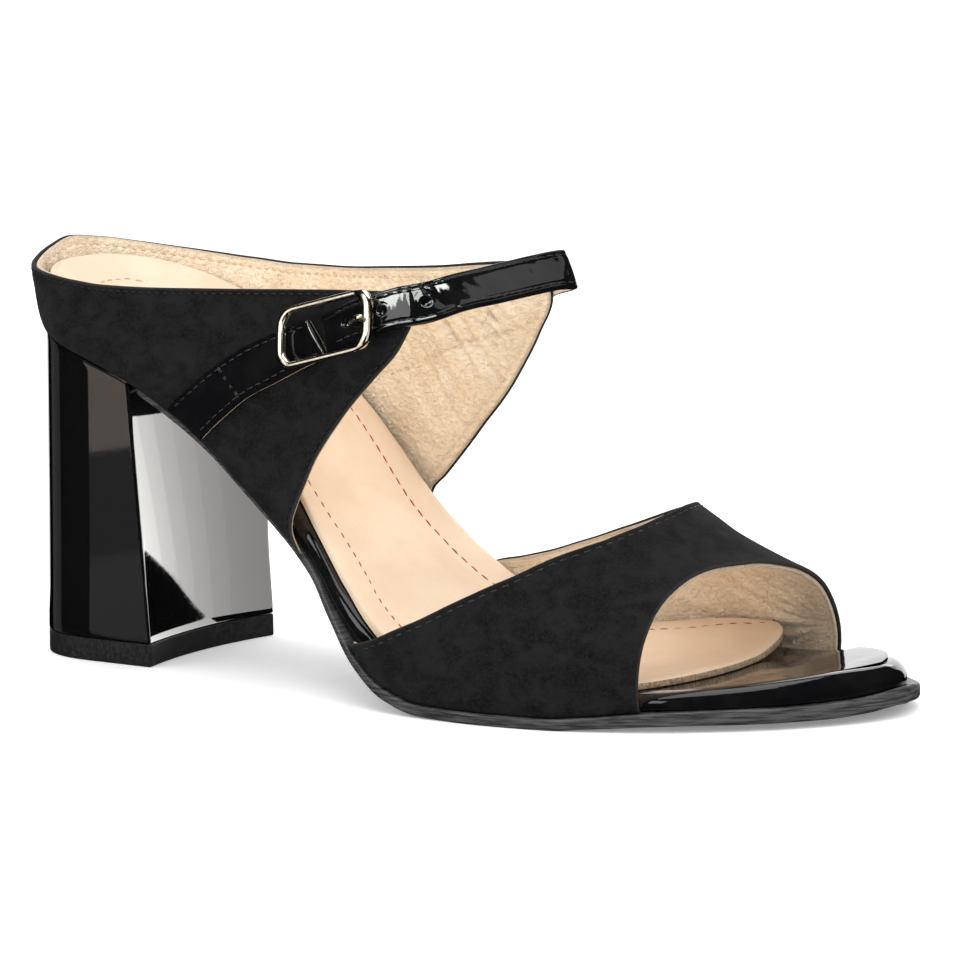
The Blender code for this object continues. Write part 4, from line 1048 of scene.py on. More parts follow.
def make_sock():
    m = Maker("natural_sock_leather", (0.90, 0.72, 0.55), Roughness=0.5, Specular_IOR_Level=0.35)
    broad = m.ramp(m.noise(0.05, 3.0, 0.55, warp=0.4), 0.35, 0.65)
    base = m.mix(broad, (0.83, 0.655, 0.49), (0.77, 0.585, 0.42))
    hair = m.noise(0.9, 4.0, 0.7, (3.0, 0.35, 1.0))
    base = m.mix(m.ramp(hair, 0.30, 0.46, 0.18, 0.0), base, (0.62, 0.43, 0.28))
    m.colour(base)
    m.roughness(m.ramp(hair, 0.3, 0.7, 0.56, 0.44))
    m.bump(m.noise(0.30, 2.0, 0.5), 0.12, 0.5)
    m.bump(m.cells(2.2, "SMOOTH_F1"), 0.03, 0.5)
    return m.mat


def make_raw_edge():
    m = Maker("raw_foam_edge", (0.45, 0.32, 0.20), Roughness=0.9, Specular_IOR_Level=0.2)
    grit = m.noise(1.6, 4.0, 0.75, (1, 1, 0.5))
    base = m.mix(m.ramp(grit, 0.35, 0.65), (0.26, 0.17, 0.10), (0.62, 0.46, 0.30))
    m.colour(base)
    m.bump(grit, 0.5, 1.0)
    return m.mat


def make_patent(name="black_patent_leather", wave=0.05):
    m = Maker(name, (0.0045, 0.0045, 0.005), Roughness=0.035, IOR=1.52)
    m.colour(m.mix(m.ramp(m.noise(0.12, 3.0, 0.6), 0.4, 0.7), (0.0042, 0.0042, 0.0048),
                   (0.0075, 0.0075, 0.008)))
    m.roughness(m.ramp(m.noise(0.5, 4.0, 0.7), 0.45, 0.8, 0.03, 0.085))
    m.bump(m.noise(0.22, 2.0, 0.5), wave, 1.0)
    m.bump(m.noise(2.2, 3.0, 0.5), 0.006, 1.0)
    return m.mat


def make_lacquer():
    m = Maker("black_heel_lacquer", (0.004, 0.004, 0.0042), Roughness=0.03, IOR=1.5,
              Coat_Weight=1.0, Coat_Roughness=0.02)
    scuff = m.ramp(m.noise(0.45, 5.0, 0.75, (0.5, 1, 2.2), warp=1.0), 0.60, 0.74)
    m.colour(m.mix(scuff, (0.0040, 0.0040, 0.0044), (0.012, 0.012, 0.012)))
    m.roughness(m.math("ADD", m.math("MULTIPLY", scuff, 0.10), 0.03))
    m.bump(m.noise(0.035, 1.0, 0.4), 0.10, 1.0)
    m.bump(m.noise(0.9, 3.0, 0.6), 0.004, 1.0)
    return m.mat


def make_resin():
    m = Maker("black_outsole_resin", (0.04, 0.04, 0.042), Roughness=0.36, Specular_IOR_Level=0.5)
    streak = m.noise(0.5, 4.0, 0.65, (0.25, 0.25, 6.0))
    m.colour(m.mix(m.ramp(streak, 0.35, 0.65), (0.020, 0.020, 0.021), (0.095, 0.094, 0.092)))
    m.roughness(m.ramp(m.noise(0.8, 4.0, 0.7), 0.35, 0.7, 0.28, 0.5))
    m.bump(streak, 0.05, 0.8)
    m.bump(m.noise(1.6, 3.0, 0.6), 0.04, 0.7)
    return m.mat


def make_rubber():
    m = Maker("black_tip_rubber", (0.02, 0.02, 0.021), Roughness=0.42, Specular_IOR_Level=0.5)
    grain = m.noise(1.1, 4.0, 0.7)
    m.colour(m.mix(m.ramp(grain, 0.4, 0.7), (0.014, 0.014, 0.015), (0.032, 0.032, 0.033)))
    m.roughness(m.ramp(grain, 0.35, 0.7, 0.34, 0.55))
    m.bump(grain, 0.06, 0.8)
    return m.mat


def make_gold():
    m = Maker("pale_gold_plate", (0.88, 0.82, 0.70), Roughness=0.13, Metallic=1.0)
    wear = m.noise(0.9, 4.0, 0.7)
    m.colour(m.mix(m.ramp(wear, 0.42, 0.72), (0.90, 0.85, 0.74), (0.70, 0.60, 0.45)))
    m.roughness(m.ramp(wear, 0.35, 0.75, 0.09, 0.24))
    m.bump(m.noise(1.6, 3.0, 0.6), 0.012, 1.0)
    return m.mat


def make_thread(name, colour, dark, gloss=0.45):
    m = Maker(name, colour, Roughness=gloss)
    twist = m.noise(4.5, 2.0, 0.6)
    m.colour(m.mix(m.ramp(twist, 0.35, 0.65), colour, dark))
    m.bump(twist, 0.03, 1.0)
    return m.mat


suede, lining, sock = make_suede(), make_lining(), make_sock()
raw_edge, patent, lacquer = make_raw_edge(), make_patent(), make_lacquer()
resin, rubber, gold = make_resin(), make_rubber(), make_gold()
thread_black = make_thread("black_thread", (0.022, 0.022, 0.023), (0.007, 0.007, 0.008), 0.42)
thread_red = make_thread("red_thread", (0.50, 0.040, 0.030), (0.30, 0.018, 0.014))
thread_beige = make_thread("beige_thread", (0.84, 0.67, 0.47), (0.66, 0.49, 0.31))
thread_fleck = make_thread("flecked_black_thread", (0.07, 0.066, 0.06), (0.008, 0.008, 0.008), 0.3)
thread_gloss = make_thread("waxed_black_thread", (0.05, 0.05, 0.052), (0.012, 0.012, 0.013), 0.16)
thread_grey = make_thread("grey_thread", (0.42, 0.39, 0.34), (0.16, 0.15, 0.13))


# ---- quarter ----------------------------------------------------------------------
EDGE_ROWS = np.array([0.0, 0.035, 0.11, 0.23, 0.40, 0.60, 0.85, 1.2, 1.7])


def levels_from_edges(length, count, first, last):
    """Distances 0..length with fine rows at the ends that ask for them."""
    head = EDGE_ROWS if first else np.array([0.0])
    tail = length - EDGE_ROWS[::-1] if last else np.array([length])
    middle = np.linspace(head[-1], tail[0], count)[1:-1]
    return np.concatenate([head, middle, tail])


def quarter_point(u, level):
    """Same patch as the part's quarter, by level instead of its square-like ease."""
    low_a = OUTER_FRONT[0]["a"] + (INNER_FRONT[0]["a"] - OUTER_FRONT[0]["a"]) * u
    top_a = OUTER_FRONT[-1]["a"] + (INNER_FRONT[-1]["a"] - OUTER_FRONT[-1]["a"]) * u
    top_h = topline(top_a) - feather_z(on_path(top_a)[0])
    a = low_a + (top_a - low_a) * level
    h = top_h * level
    for table, weight in ((OUTER_FRONT, (1 - u) ** 6), (INNER_FRONT, u ** 6)):
        da, dh = ease_deviation(table, level)
        a = a + weight * da
        h = h + weight * dh
    return a, h


def wall_normals(a, h):
    """Outward unit normals of the wall, also round the back of the heel."""
    da = wall(a + 0.5, h) - wall(a - 0.5, h)
    dh = wall(a, h + 0.5) - wall(a, h - 0.5)
    n = np.cross(da, dh)
    n /= np.linalg.norm(n, axis=-1, keepdims=True)
    _, _, ns, nm = on_path(a)
    turn = np.sign(n[..., 0] * ns + n[..., 1] * nm)
    return n * turn[..., None]


def quarter_grid(inset, nu, nv, drop=0.0):
    width = 236.0
    du = levels_from_edges(width - 2 * inset, nu, True, True) + inset
    u = (du / width)[:, None]
    top_a = OUTER_FRONT[-1]["a"] + (INNER_FRONT[-1]["a"] - OUTER_FRONT[-1]["a"]) * u
    tall = (topline(top_a) - feather_z(on_path(top_a)[0]))[:, 0]
    level = np.array([(levels_from_edges(t - inset + drop, nv, False, True) - drop) / t for t in tall])
    a, h = quarter_point(np.repeat(u, level.shape[1], 1), level)
    P, N = wall(a, h), wall_normals(a, h)
    front_out, front_in = P[0], P[-1]
    top, low = P[:, -1], P[:, 0]
    dist = {"top": distance_to(P, top), "outer": distance_to(P, front_out),
            "inner": distance_to(P, front_in), "low": distance_to(P, low)}
    for key, cut in (("top", (slice(None), -1)), ("outer", (0, slice(None))),
                     ("inner", (-1, slice(None))), ("low", (slice(None), 0))):
        dist[key][cut] = 0.0
    return a, h, P, N, dist


# soft furrows of the lining on the inner flap and round the heel, by arc and height
LINING_FURROWS = [
    dict(x0=96, y0=62, x1=118, y1=44, width=0.9, depth=0.75, bow=1.5),
    dict(x0=100, y0=70, x1=127, y1=58, width=0.8, depth=0.70, bow=2.0),
    dict(x0=90, y0=56, x1=112, y1=36, width=1.0, depth=0.70, bow=1.2),
    dict(x0=108, y0=76, x1=130, y1=69, width=0.7, depth=0.60, bow=1.0),
    dict(x0=86, y0=50, x1=101, y1=36, width=0.9, depth=0.65, bow=-1.0),
    dict(x0=101, y0=58, x1=121, y1=49, width=0.8, depth=0.60, bow=-1.5),
    dict(x0=94, y0=48, x1=114, y1=33, width=0.8, depth=0.55, bow=1.0),
    dict(x0=110, y0=66, x1=126, y1=60, width=0.6, depth=0.55, bow=-0.8),
    dict(x0=84, y0=42, x1=97, y1=28, width=0.9, depth=0.50, bow=0.8),
    dict(x0=98, y0=42, x1=110, y1=29, width=0.8, depth=0.45, bow=0.6),
    dict(x0=98, y0=66, x1=115, y1=55, width=0.6, depth=0.45, bow=0.9),
    dict(x0=104, y0=64, x1=124, y1=54, width=0.6, depth=0.45, bow=-0.9),
    dict(x0=92, y0=61, x1=104, y1=49, width=0.6, depth=0.45, bow=0.5),
    dict(x0=104, y0=73, x1=118, y1=66, width=0.55, depth=0.42, bow=0.7),
    dict(x0=112, y0=71, x1=129, y1=64, width=0.55, depth=0.45, bow=0.6),
    dict(x0=88, y0=46, x1=99, y1=33, width=0.6, depth=0.40, bow=0.5),
    dict(x0=112, y0=52, x1=125, y1=47, width=0.6, depth=0.38, bow=-0.5),
    dict(x0=-30, y0=3, x1=-28, y1=13, width=0.9, depth=0.35, bow=0.3),
    dict(x0=-22, y0=3, x1=-23, y1=14, width=0.8, depth=0.30, bow=0.2),
    dict(x0=-14, y0=2, x1=-13, y1=15, width=0.9, depth=0.38, bow=0.3),
    dict(x0=-6, y0=2, x1=-7, y1=15, width=0.8, depth=0.30, bow=0.2),
    dict(x0=3, y0=2, x1=4, y1=14, width=0.9, depth=0.36, bow=0.3),
    dict(x0=12, y0=2, x1=11, y1=14, width=0.9, depth=0.34, bow=0.2),
    dict(x0=22, y0=3, x1=24, y1=15, width=1.0, depth=0.36, bow=0.3),
    dict(x0=34, y0=4, x1=37, y1=18, width=1.1, depth=0.35, bow=0.4),
    dict(x0=48, y0=6, x1=56, y1=24, width=1.2, depth=0.32, bow=0.6),
    dict(x0=62, y0=10, x1=74, y1=30, width=1.3, depth=0.32, bow=0.6),
]

a, h, P, N, dist = quarter_grid(0.0, 330, 66, drop=0.35)
edge = np.minimum(np.minimum(dist["top"], dist["outer"]), dist["inner"])
all_edge = np.minimum(edge, dist["low"])
swellings = 0.10 * ripple(a, h, 16.0, 3) + 0.05 * ripple(a, h, 6.0, 4)
rows_top = row_contour(P, N, dist["top"], 1.15, start=1)
seam_dip = -0.16 * np.exp(-((edge - 1.2) / 0.35) ** 2)
puff = 0.10 * np.exp(-((edge - 2.6) / 1.1) ** 2)
thin = np.exp(-(np.minimum(dist["outer"], dist["inner"]) / 3.2) ** 2)
plate("quarter_suede", P, N, all_edge, 0.0, -1.08 + 0.50 * thin, [suede], ["quarter"],
      np.stack([a, h, edge], -1), top_disp=swellings * smooth01(edge, 0.5, 5) + seam_dip + puff)
T = np.swapaxes
outer_row = row_contour(T(P, 0, 1), T(N, 0, 1), T(dist["outer"], 0, 1), 1.3)
inner_row = row_contour(T(P, 0, 1), T(N, 0, 1), T(dist["inner"], 0, 1), 1.3, start=1)
keep = slice(4, -4)
stitches("quarter_seam", [(rows_top[0][keep], rows_top[1][keep]),
                          (outer_row[0][2:-6], outer_row[1][2:-6]),
                          (inner_row[0][2:-6], inner_row[1][2:-6])],
         thread_black, length=1.55, pitch=2.1, radius=0.20, lift=-0.02, arch=0.16)

a, h, P, N, dist = quarter_grid(0.30, 380, 108)
edge = np.minimum(np.minimum(dist["top"], dist["outer"]), dist["inner"])
all_edge = np.minimum(edge, dist["low"])
furrows = 1.5 * sum(crease(a, h, row) for row in LINING_FURROWS)
flap = smooth01(a, 78, 92)
furrows = furrows + flap * (0.24 * ripple(a * 0.75 + h * 0.9, h * 0.5 - a * 0.5, 7.0, 11)
                            + 0.16 * ripple(a + 1.2 * h, 0.25 * (h - a), 3.2, 12)
                            + 0.06 * ripple(a, h, 1.9, 15))
back = np.exp(-(a / 34.0) ** 2)
furrows = furrows + back * 0.10 * ripple(a, h * 0.15, 3.4, 13)
furrows = furrows + 0.07 * ripple(a, h, 9.0, 14)
inner_seam = -0.20 * np.exp(-((edge - 1.9) / 0.35) ** 2)
u_strap = np.interp(a, [88, 104.4, 119.7, 134], [-9, 0, 0, 0])
on_seam = np.interp(a, [86, 90.0, 104.4, 119.7, 131.9], [20.5, 24.9, 41.6, 59.7, 72.3])
strap_seam = -0.22 * np.exp(-((h - on_seam) / 0.6) ** 2) * smooth01(a, 84, 90)
low = -(furrows * smooth01(edge, 0.6, 3.5) + inner_seam + strap_seam)
thin = np.exp(-(np.minimum(dist["outer"], dist["inner"]) / 3.2) ** 2)
plate("quarter_lining", P, N, all_edge, -1.10 + 0.50 * thin, -2.2 + 1.10 * thin, [lining], (),
      np.stack([a, h, edge], -1), low_disp=low, radius=0.5)
inner_top = row_contour(P, N, dist["top"], 1.9, start=1)
inner_side = row_contour(T(P, 0, 1), T(N, 0, 1), T(dist["inner"], 0, 1), 1.9, start=1)
inner_out = row_contour(T(P, 0, 1), T(N, 0, 1), T(dist["outer"], 0, 1), 1.9)
seam_a = np.linspace(88, 131, 120)
seam_h = np.interp(seam_a, [86, 90.0, 104.4, 119.7, 131.9], [20.5, 24.9, 41.6, 59.7, 72.3])
seam_n = wall_normals(seam_a, seam_h)
rows = [(l[4:-4] - n[4:-4] * 2.15, -n[4:-4]) for l, n in (inner_top, inner_side, inner_out)]
rows.append((wall(seam_a, seam_h) - seam_n * 2.15, -seam_n))
stitches("lining_seam", rows, thread_beige, length=1.5, pitch=2.3,
         radius=0.15, lift=-0.05, arch=0.14)


# ---- vamp -------------------------------------------------------------------------
def vamp_grid(inset, nu, nv):
    p = np.linspace(-1, 1, nu)
    p = np.concatenate([[-1], p[1:-1], [1]])
    rows = []
    rear, front = vamp_rear(p), vamp_front(p)
    s = np.array([levels_from_edges(f - r - 2 * inset, nv, True, True) + r + inset
                  for r, f in zip(rear, front)])
    pp = np.repeat(p[:, None], s.shape[1], 1)
    P = vamp_surface(s, pp)
    eps = 0.002
    dp = vamp_surface(s, np.clip(pp + eps, -1, 1)) - vamp_surface(s, np.clip(pp - eps, -1, 1))
    ds = vamp_surface(s + 0.3, pp) - vamp_surface(s - 0.3, pp)
    N = np.cross(dp, ds)
    N /= np.linalg.norm(N, axis=-1, keepdims=True)
    out = P - np.array([150.0, 0.0, 5.0]) * np.array([0, 1, 1]) - P * np.array([1, 0, 0])
    N *= np.sign(np.sum(N * out, -1, keepdims=True))
    dist = {"rear": distance_to(P, P[:, 0]), "front": distance_to(P, P[:, -1]),
            "outer": distance_to(P, P[0]), "inner": distance_to(P, P[-1])}
    for key, cut in (("rear", (slice(None), 0)), ("front", (slice(None), -1)),
                     ("outer", (0, slice(None))), ("inner", (-1, slice(None)))):
        dist[key][cut] = 0.0
    return pp, s, P, N, dist


pp, s, P, N, dist = vamp_grid(0.0, 230, 60)
P[..., 2] -= np.interp(np.abs(pp), [0.97, 1.0], [0.0, 0.35])
edge = np.minimum(dist["rear"], dist["front"])
all_edge = np.minimum(edge, np.minimum(dist["outer"], dist["inner"]))
arc_p = pp * 55
swellings = 0.10 * ripple(s, arc_p, 15.0, 21) + 0.05 * ripple(s, arc_p, 6.0, 22)
seam_dip = -0.14 * np.exp(-((dist["rear"] - 1.5) / 0.35) ** 2)
plate("vamp_suede", P, N, all_edge, 0.0, -0.98, [suede], ["vamp"],
      np.stack([s, arc_p, edge], -1), top_disp=swellings * smooth01(edge, 0.5, 5) + seam_dip)
rear_row = row_contour(P, N, dist["rear"], 1.5)
stitches("vamp_seam", [(rear_row[0][4:-4], rear_row[1][4:-4])], thread_fleck,
         length=1.5, pitch=2.6, radius=0.15, lift=-0.03, arch=0.14)

pp, s, P, N, dist = vamp_grid(0.28, 200, 50)
edge = np.minimum(dist["rear"], dist["front"])
all_edge = np.minimum(edge, np.minimum(dist["outer"], dist["inner"]))
arc_p = pp * 55
# radial wrinkles of the lining, gathered towards the inner toe corner
corner_s, corner_q = 186.0, 44.0
angle = np.arctan2(arc_p - corner_q, s - corner_s)
reach = np.hypot(arc_p - corner_q, s - corner_s)
rays = np.sin(angle * 24 + 1.3 * np.sin(angle * 7)) * np.exp(-((reach - 16) / 12) ** 2)
flat_rows = ripple(s * 0.10, arc_p, 3.0, 25) * np.exp(-((arc_p - 47) / 7.0) ** 2)
low = -(0.34 * rays * smooth01(pp, 0.25, 0.6) + 0.16 * ripple(s * 0.4, arc_p, 4.0, 23)
        + 0.22 * flat_rows
        + 0.08 * ripple(s, arc_p, 9.0, 24)) * smooth01(edge, 0.6, 4)
low = low + 0.18 * np.exp(-((edge - 1.8) / 0.35) ** 2)
plate("vamp_lining", P, N, all_edge, -1.0, -2.0, [lining], (),
      np.stack([s, arc_p, edge], -1), low_disp=low, radius=0.45)
front_in = row_contour(P, N, dist["front"], 1.8, start=1)
rear_in = row_contour(P, N, dist["rear"], 1.8)
stitches("vamp_lining_seam", [(l[4:-4] - n[4:-4] * 1.95, -n[4:-4]) for l, n in (front_in, rear_in)],
         thread_beige, length=1.4, pitch=2.1, radius=0.17, lift=-0.04, arch=0.14)


# ---- sole -------------------------------------------------------------------------
def four_sides(shape, tip_share=0.06, heel_share=0.03, step=0.9, level=0.5):
    """Plan outline of a sole piece as outer, front, inner and back sides."""
    u = np.concatenate([0.14 * (1 - np.cos(np.linspace(0, np.pi / 2, 160))),
                        np.linspace(0.14, 0.86, 600)[1:-1],
                        0.86 + 0.14 * np.sin(np.linspace(0, np.pi / 2, 240))])
    halves = []
    for v in (0.0, 1.0):
        p = shape(u, np.full_like(u, v), np.full_like(u, level))[:, :2]
        halves.append(p)
    outer, inner = halves
    full = np.vstack([outer, inner[::-1]])
    full = np.vstack([full, full[:1]])
    k0, k1 = int(len(u) * heel_share), int(len(u) * (1 - tip_share))
    lat = resample(outer[k0:k1 + 1], step)
    med = resample(inner[k0:k1 + 1], step)
    count = max(len(lat), len(med))
    even = lambda p: resample_n(p, count)
    front = np.vstack([outer[k1:], inner[k1:][::-1]])
    back = np.vstack([outer[:k0 + 1][::-1], inner[:k0 + 1]])
    cross = max(int(round(length_of(front) / step)), int(round(length_of(back) / step)), 24)
    return even(lat), resample_n(front, cross + 1), even(med), resample_n(back, cross + 1)


def length_of(p):
    return float(np.sum(np.linalg.norm(np.diff(p, axis=0), axis=1)))


def resample_n(p, n):
    arc = np.concatenate([[0], np.cumsum(np.linalg.norm(np.diff(p, axis=0), axis=1))])
    even = np.linspace(0, arc[-1], n)
    return np.stack([np.interp(even, arc, p[:, k]) for k in range(p.shape[1])], -1)


def platform_at(s, m, w):
    return feather_z(s) + platform_t(s) * w


sides = four_sides(midsole_shape, tip_share=0.05, heel_share=0.05)
platform_obj = slab("platform", sides, rounded_profile(4.8, 0.5, 3.9, 12, bulge=0.06), platform_at, [patent],
     ["midsole"], soft=12, toe_soft=36,
     relief=lambda s, m, e: 1.1 * smooth01(m, -6, 34) * smooth01(s, 187, 196) * smooth01(e, 0.0, 4.0))


def outsole_at(s, m, w):
    return feather_z(s) - SOLE_GAP + 0.25 * w - outsole_t(s) * (1 - w)


def outsole_sides():
    u = np.concatenate([np.linspace(0, 0.86, 500)[:-1], 0.86 + 0.14 * np.sin(np.linspace(0, np.pi / 2, 240))])
    outer = outsole_shape(u, np.zeros_like(u), np.full_like(u, 0.35))[:, :2]
    inner = outsole_shape(u, np.ones_like(u), np.full_like(u, 0.35))[:, :2]
    k1 = int(len(u) * 0.95)
    v = np.linspace(0, 1, 60)
    back = outsole_shape(np.zeros_like(v), v, np.full_like(v, 0.35))[:, :2]
    front = np.vstack([outer[k1:], inner[k1:][::-1]])
    return (resample_n(outer[:k1 + 1], 210), resample_n(front, 46),
            resample_n(inner[:k1 + 1], 210), resample_n(back, 46))


slab("outsole_edge", outsole_sides(), rounded_profile(2.3, 0.55, 0.45, 6, bulge=0.22), outsole_at,
     [resin], ["outsole"], soft=2, toe_soft=30)


# stitch rows and rim of the sock, by station
SOCK_STITCH_OUT = [dict(s=60, m=-19.2), dict(s=75, m=-18.4), dict(s=87.4, m=-18.2), dict(s=97.5, m=-19.4),
                   dict(s=104.7, m=-21.9), dict(s=113.2, m=-26.2), dict(s=122, m=-29.2),
                   dict(s=140, m=-32.2), dict(s=158, m=-31.0), dict(s=170, m=-27.5)]
SOCK_STITCH_IN = [dict(s=60, m=15.0), dict(s=75, m=12.4), dict(s=87.5, m=10.3), dict(s=97, m=9.6),
                  dict(s=108, m=9.9), dict(s=116, m=11.8), dict(s=130, m=16.6), dict(s=140, m=20.2),
                  dict(s=148.1, m=23.3), dict(s=157.8, m=27.6), dict(s=165.1, m=31.9), dict(s=171.6, m=34.8)]
sock_out = curve(SOCK_STITCH_OUT, "s", "m")
sock_in = curve(SOCK_STITCH_IN, "s", "m")


def sock_curl(s, m):
    """The sock lifts a little towards the inner toe."""
    return 3.3 * smooth01(s, 138, 165) * smooth01(m, 12, 38)


def sock_at(s, m, w):
    base = feather_z(s) + platform_t(s) + SOLE_GAP
    return base - 0.3 + (sock_t(s) + 0.3) * w + sock_curl(s, m) * (0.80 + 0.20 * w)


def sock_relief(s, m, e):
    near = np.minimum(np.abs(m - sock_out(s)), np.abs(m - sock_in(s)))
    inside = (s > 58) & (s < 171)
    groove = -0.20 * np.exp(-(near / 0.55) ** 2) * inside
    cup = 0.5 * np.exp(-((e - 3.0) / 2.2) ** 2) * smooth01(s, 60, 30)
    soft = 0.10 * ripple(s, m, 22.0, 31) + 0.05 * ripple(s, m, 7.0, 32)
    roll = 0.18 * np.exp(-((e - 2.0) / 1.2) ** 2)
    wrinkle = 0.06 * ripple(s * 1.6, m * 0.3, 5.0, 33) * np.exp(-((e - 1.5) / 2.0) ** 2)
    return (groove + cup + soft * smooth01(e, 0.8, 4) + roll + wrinkle) * smooth01(e, 0.9, 1.6)


def sock_sides():
    u = np.concatenate([0.14 * (1 - np.cos(np.linspace(0, np.pi / 2, 160))), np.linspace(0.14, 1, 500)[1:]])
    outer = insole_shape(u, np.zeros_like(u), np.full_like(u, 0.2))[:, :2]
    inner = insole_shape(u, np.ones_like(u), np.full_like(u, 0.2))[:, :2]
    # the sock stands a little off the lining at the inner waist
    inner = inner - np.stack([0 * inner[:, 0], 1.1 * smooth01(inner[:, 0], 76, 88)
                              * smooth01(inner[:, 0], 134, 120)], -1)
    v = np.linspace(0, 1, 120)
    front = insole_shape(np.ones_like(v), v, np.full_like(v, 0.2))[:, :2]
    k0 = 40
    back = np.vstack([outer[:k0 + 1][::-1], inner[:k0 + 1]])
    return (resample_n(outer[k0:], 230), resample_n(front, 62), resample_n(inner[k0:], 230),
            resample_n(back, 62))


slab("sock", sock_sides(), rounded_profile(2.8, 0.3, 0.9, 7, bulge=0.12), sock_at,
     [sock, raw_edge], ["insole"], soft=6, relief=sock_relief, front_mat=1)


def on_sock(s, m, lift=0.0):
    z = sock_at(s, m, np.ones_like(s)) + sock_relief(s, m, np.full_like(s, 5.0)) + lift
    return np.stack([s, m, z], -1), np.tile([0.0, 0.0, 1.0], (len(s), 1))


s_row = np.linspace(60, 168, 300)
rows = [on_sock(s_row, sock_out(s_row))]
stitches("sock_stitching_outer", rows, thread_red, length=1.9, pitch=2.9, radius=0.17,
         lift=0.02, arch=0.15)
s_in = np.linspace(60, 171.6, 320)
turn = np.linspace(0, 1, 12)
corner = (171.6 - 2.3 * turn, 34.8 + 4.4 * turn)
rows = [on_sock(s_in, sock_in(s_in)), on_sock(*corner)]
stitches("sock_stitching_inner", rows, thread_red, length=2.4, pitch=3.0, radius=0.19,
         lift=0.05, arch=0.15)
heel_row = curve([dict(t=0, s=25.4, m=-13.4), dict(t=1, s=24.3, m=-7.8), dict(t=2, s=24.3, m=-2.7),
                  dict(t=3, s=26.2, m=0.2), dict(t=4, s=28.3, m=1.2)], "t", "s")
heel_row_m = curve([dict(t=0, m=-13.4), dict(t=1, m=-7.8), dict(t=2, m=-2.7), dict(t=3, m=0.2),
                    dict(t=4, m=1.2)], "t", "m")
t_row = np.linspace(0, 4, 60)
stitches("sock_stitching_heel", [on_sock(heel_row(t_row), heel_row_m(t_row))], thread_beige,
         length=1.7, pitch=2.9, radius=0.15, lift=0.0, arch=0.14)


# ---- heel -------------------------------------------------------------------------
def heel_loop(level, n=440):
    u = np.concatenate([0.35 * (1 - np.cos(np.linspace(0, np.pi / 2, 80))), np.linspace(0.35, 1, 60)[1:]])
    v = np.linspace(0, 1, 60)
    side = lambda uu, vv: np.stack(heel_plan(uu, vv, np.full_like(uu, level)), -1)
    lat, med = side(u, np.zeros_like(u)), side(u, np.ones_like(u))
    breast = side(np.ones_like(v), v)
    loop = np.vstack([lat, breast[1:], med[::-1][1:]])
    loop = resample_n(np.vstack([loop, loop[:1]]), n + 1)[:-1]
    return soften(loop, 2)


def heel_body(name, low, high, low_r, high_r, mat, slot, replaces, top_of=None, bow=0.0, n=440):
    rows = []
    steps = [(low_r * (1 - math.sin(t)), low + low_r * (1 - math.cos(t)), 0) for t in np.linspace(0, np.pi / 2, 5)]
    mids = np.linspace(0, 1, 44)[1:-1] if top_of else [0.5]
    for w in mids:
        steps.append((0.0, None, w))
    steps += [(high_r * (1 - math.cos(t)), high - high_r * (1 - math.sin(t)), 1) for t in np.linspace(0, np.pi / 2, 5)]
    base = heel_loop(0.0, n)
    out = []
    for inset, z, w in steps:
        if top_of:
            level = 0.0 if (z is not None and w == 0) else (1.0 if z is not None else w)
            loop = heel_loop(level, n)
        else:
            loop = base
        loop = loop - plan_normals(loop) * inset
        if top_of:
            top = top_of(loop)
            if w == 0 and z is not None:
                zz = np.full(n, z)
            elif z is None:
                zz = low + low_r + (top - high_r - low - low_r) * w
            else:
                zz = top - (high - z)
        else:
            zz = np.full(n, z if z is not None else (low + high) / 2)
        out.append(np.stack([loop[:, 0], loop[:, 1], zz], -1))
    rim = np.array(out)
    nr = len(rim)
    verts = [rim.reshape(-1, 3)]
    i, j = np.meshgrid(np.arange(nr - 1), np.arange(n), indexing="ij")
    k = (j + 1) % n
    quads = [np.stack([i * n + j, i * n + k, (i + 1) * n + k, (i + 1) * n + j], -1).reshape(-1, 4)]
    base_i = nr * n
    for which in (0, nr - 1):
        row = rim[which]
        ring = [row * (1 - t) + row.mean(0) * t for t in (0.0, 0.25, 0.5, 0.75, 0.93)]
        if top_of and which:
            for r in ring:
                r[:, 2] = top_of(r[:, :2]) - 0.0
        ring = np.array(ring)
        verts.append(ring.reshape(-1, 3))
        i, j = np.meshgrid(np.arange(4), np.arange(n), indexing="ij")
        k = (j + 1) % n
        quads.append(np.stack([i * n + j, i * n + k, (i + 1) * n + k, (i + 1) * n + j], -1).reshape(-1, 4) + base_i)
        hub = ring[-1]
        verts.append(hub.mean(0, keepdims=True))
        centre_i = base_i + ring.shape[0] * n
        j = np.arange(n)
        quads.append(np.stack([base_i + 4 * n + j, base_i + 4 * n + (j + 1) % n,
                               np.full(n, centre_i), np.full(n, centre_i)], -1))
        base_i = centre_i + 1
    quads = [list(dict.fromkeys(q)) for q in np.concatenate(quads).tolist()]
    return verts, quads


def add_heel(name, *args, **kw):
    mat, slot, replaces = kw.pop("mat"), kw.pop("slot"), kw.pop("replaces")
    verts, quads = heel_body(name, *args, mat=mat, slot=slot, replaces=replaces, **kw)
    mesh = bpy.data.meshes.new(name)
    mesh.from_pydata(to_scene(np.concatenate(verts)).tolist(), [], quads)
    mesh.materials.append(mat)
    tidy(mesh, 1e-6)
    mesh.shade_smooth()
    mesh.set_sharp_from_angle(angle=math.radians(50))
    obj = bpy.data.objects.new(name, mesh)
    bpy.context.scene.collection.objects.link(obj)
    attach(obj, "root")
    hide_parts(*replaces)
    return obj


heel_obj = add_heel("heel_block", TOP_PIECE + 0.12, 90.0, 0.35, 0.5, mat=lacquer, slot="heel_lacquer",
         replaces=["heel"], top_of=lambda loop: feather_z(loop[:, 0]) - GAP + 0.1)
add_heel("heel_tip", 0.0, TOP_PIECE, 0.5, 0.35, mat=rubber, slot="top_piece_rubber",
         replaces=["top_piece"])


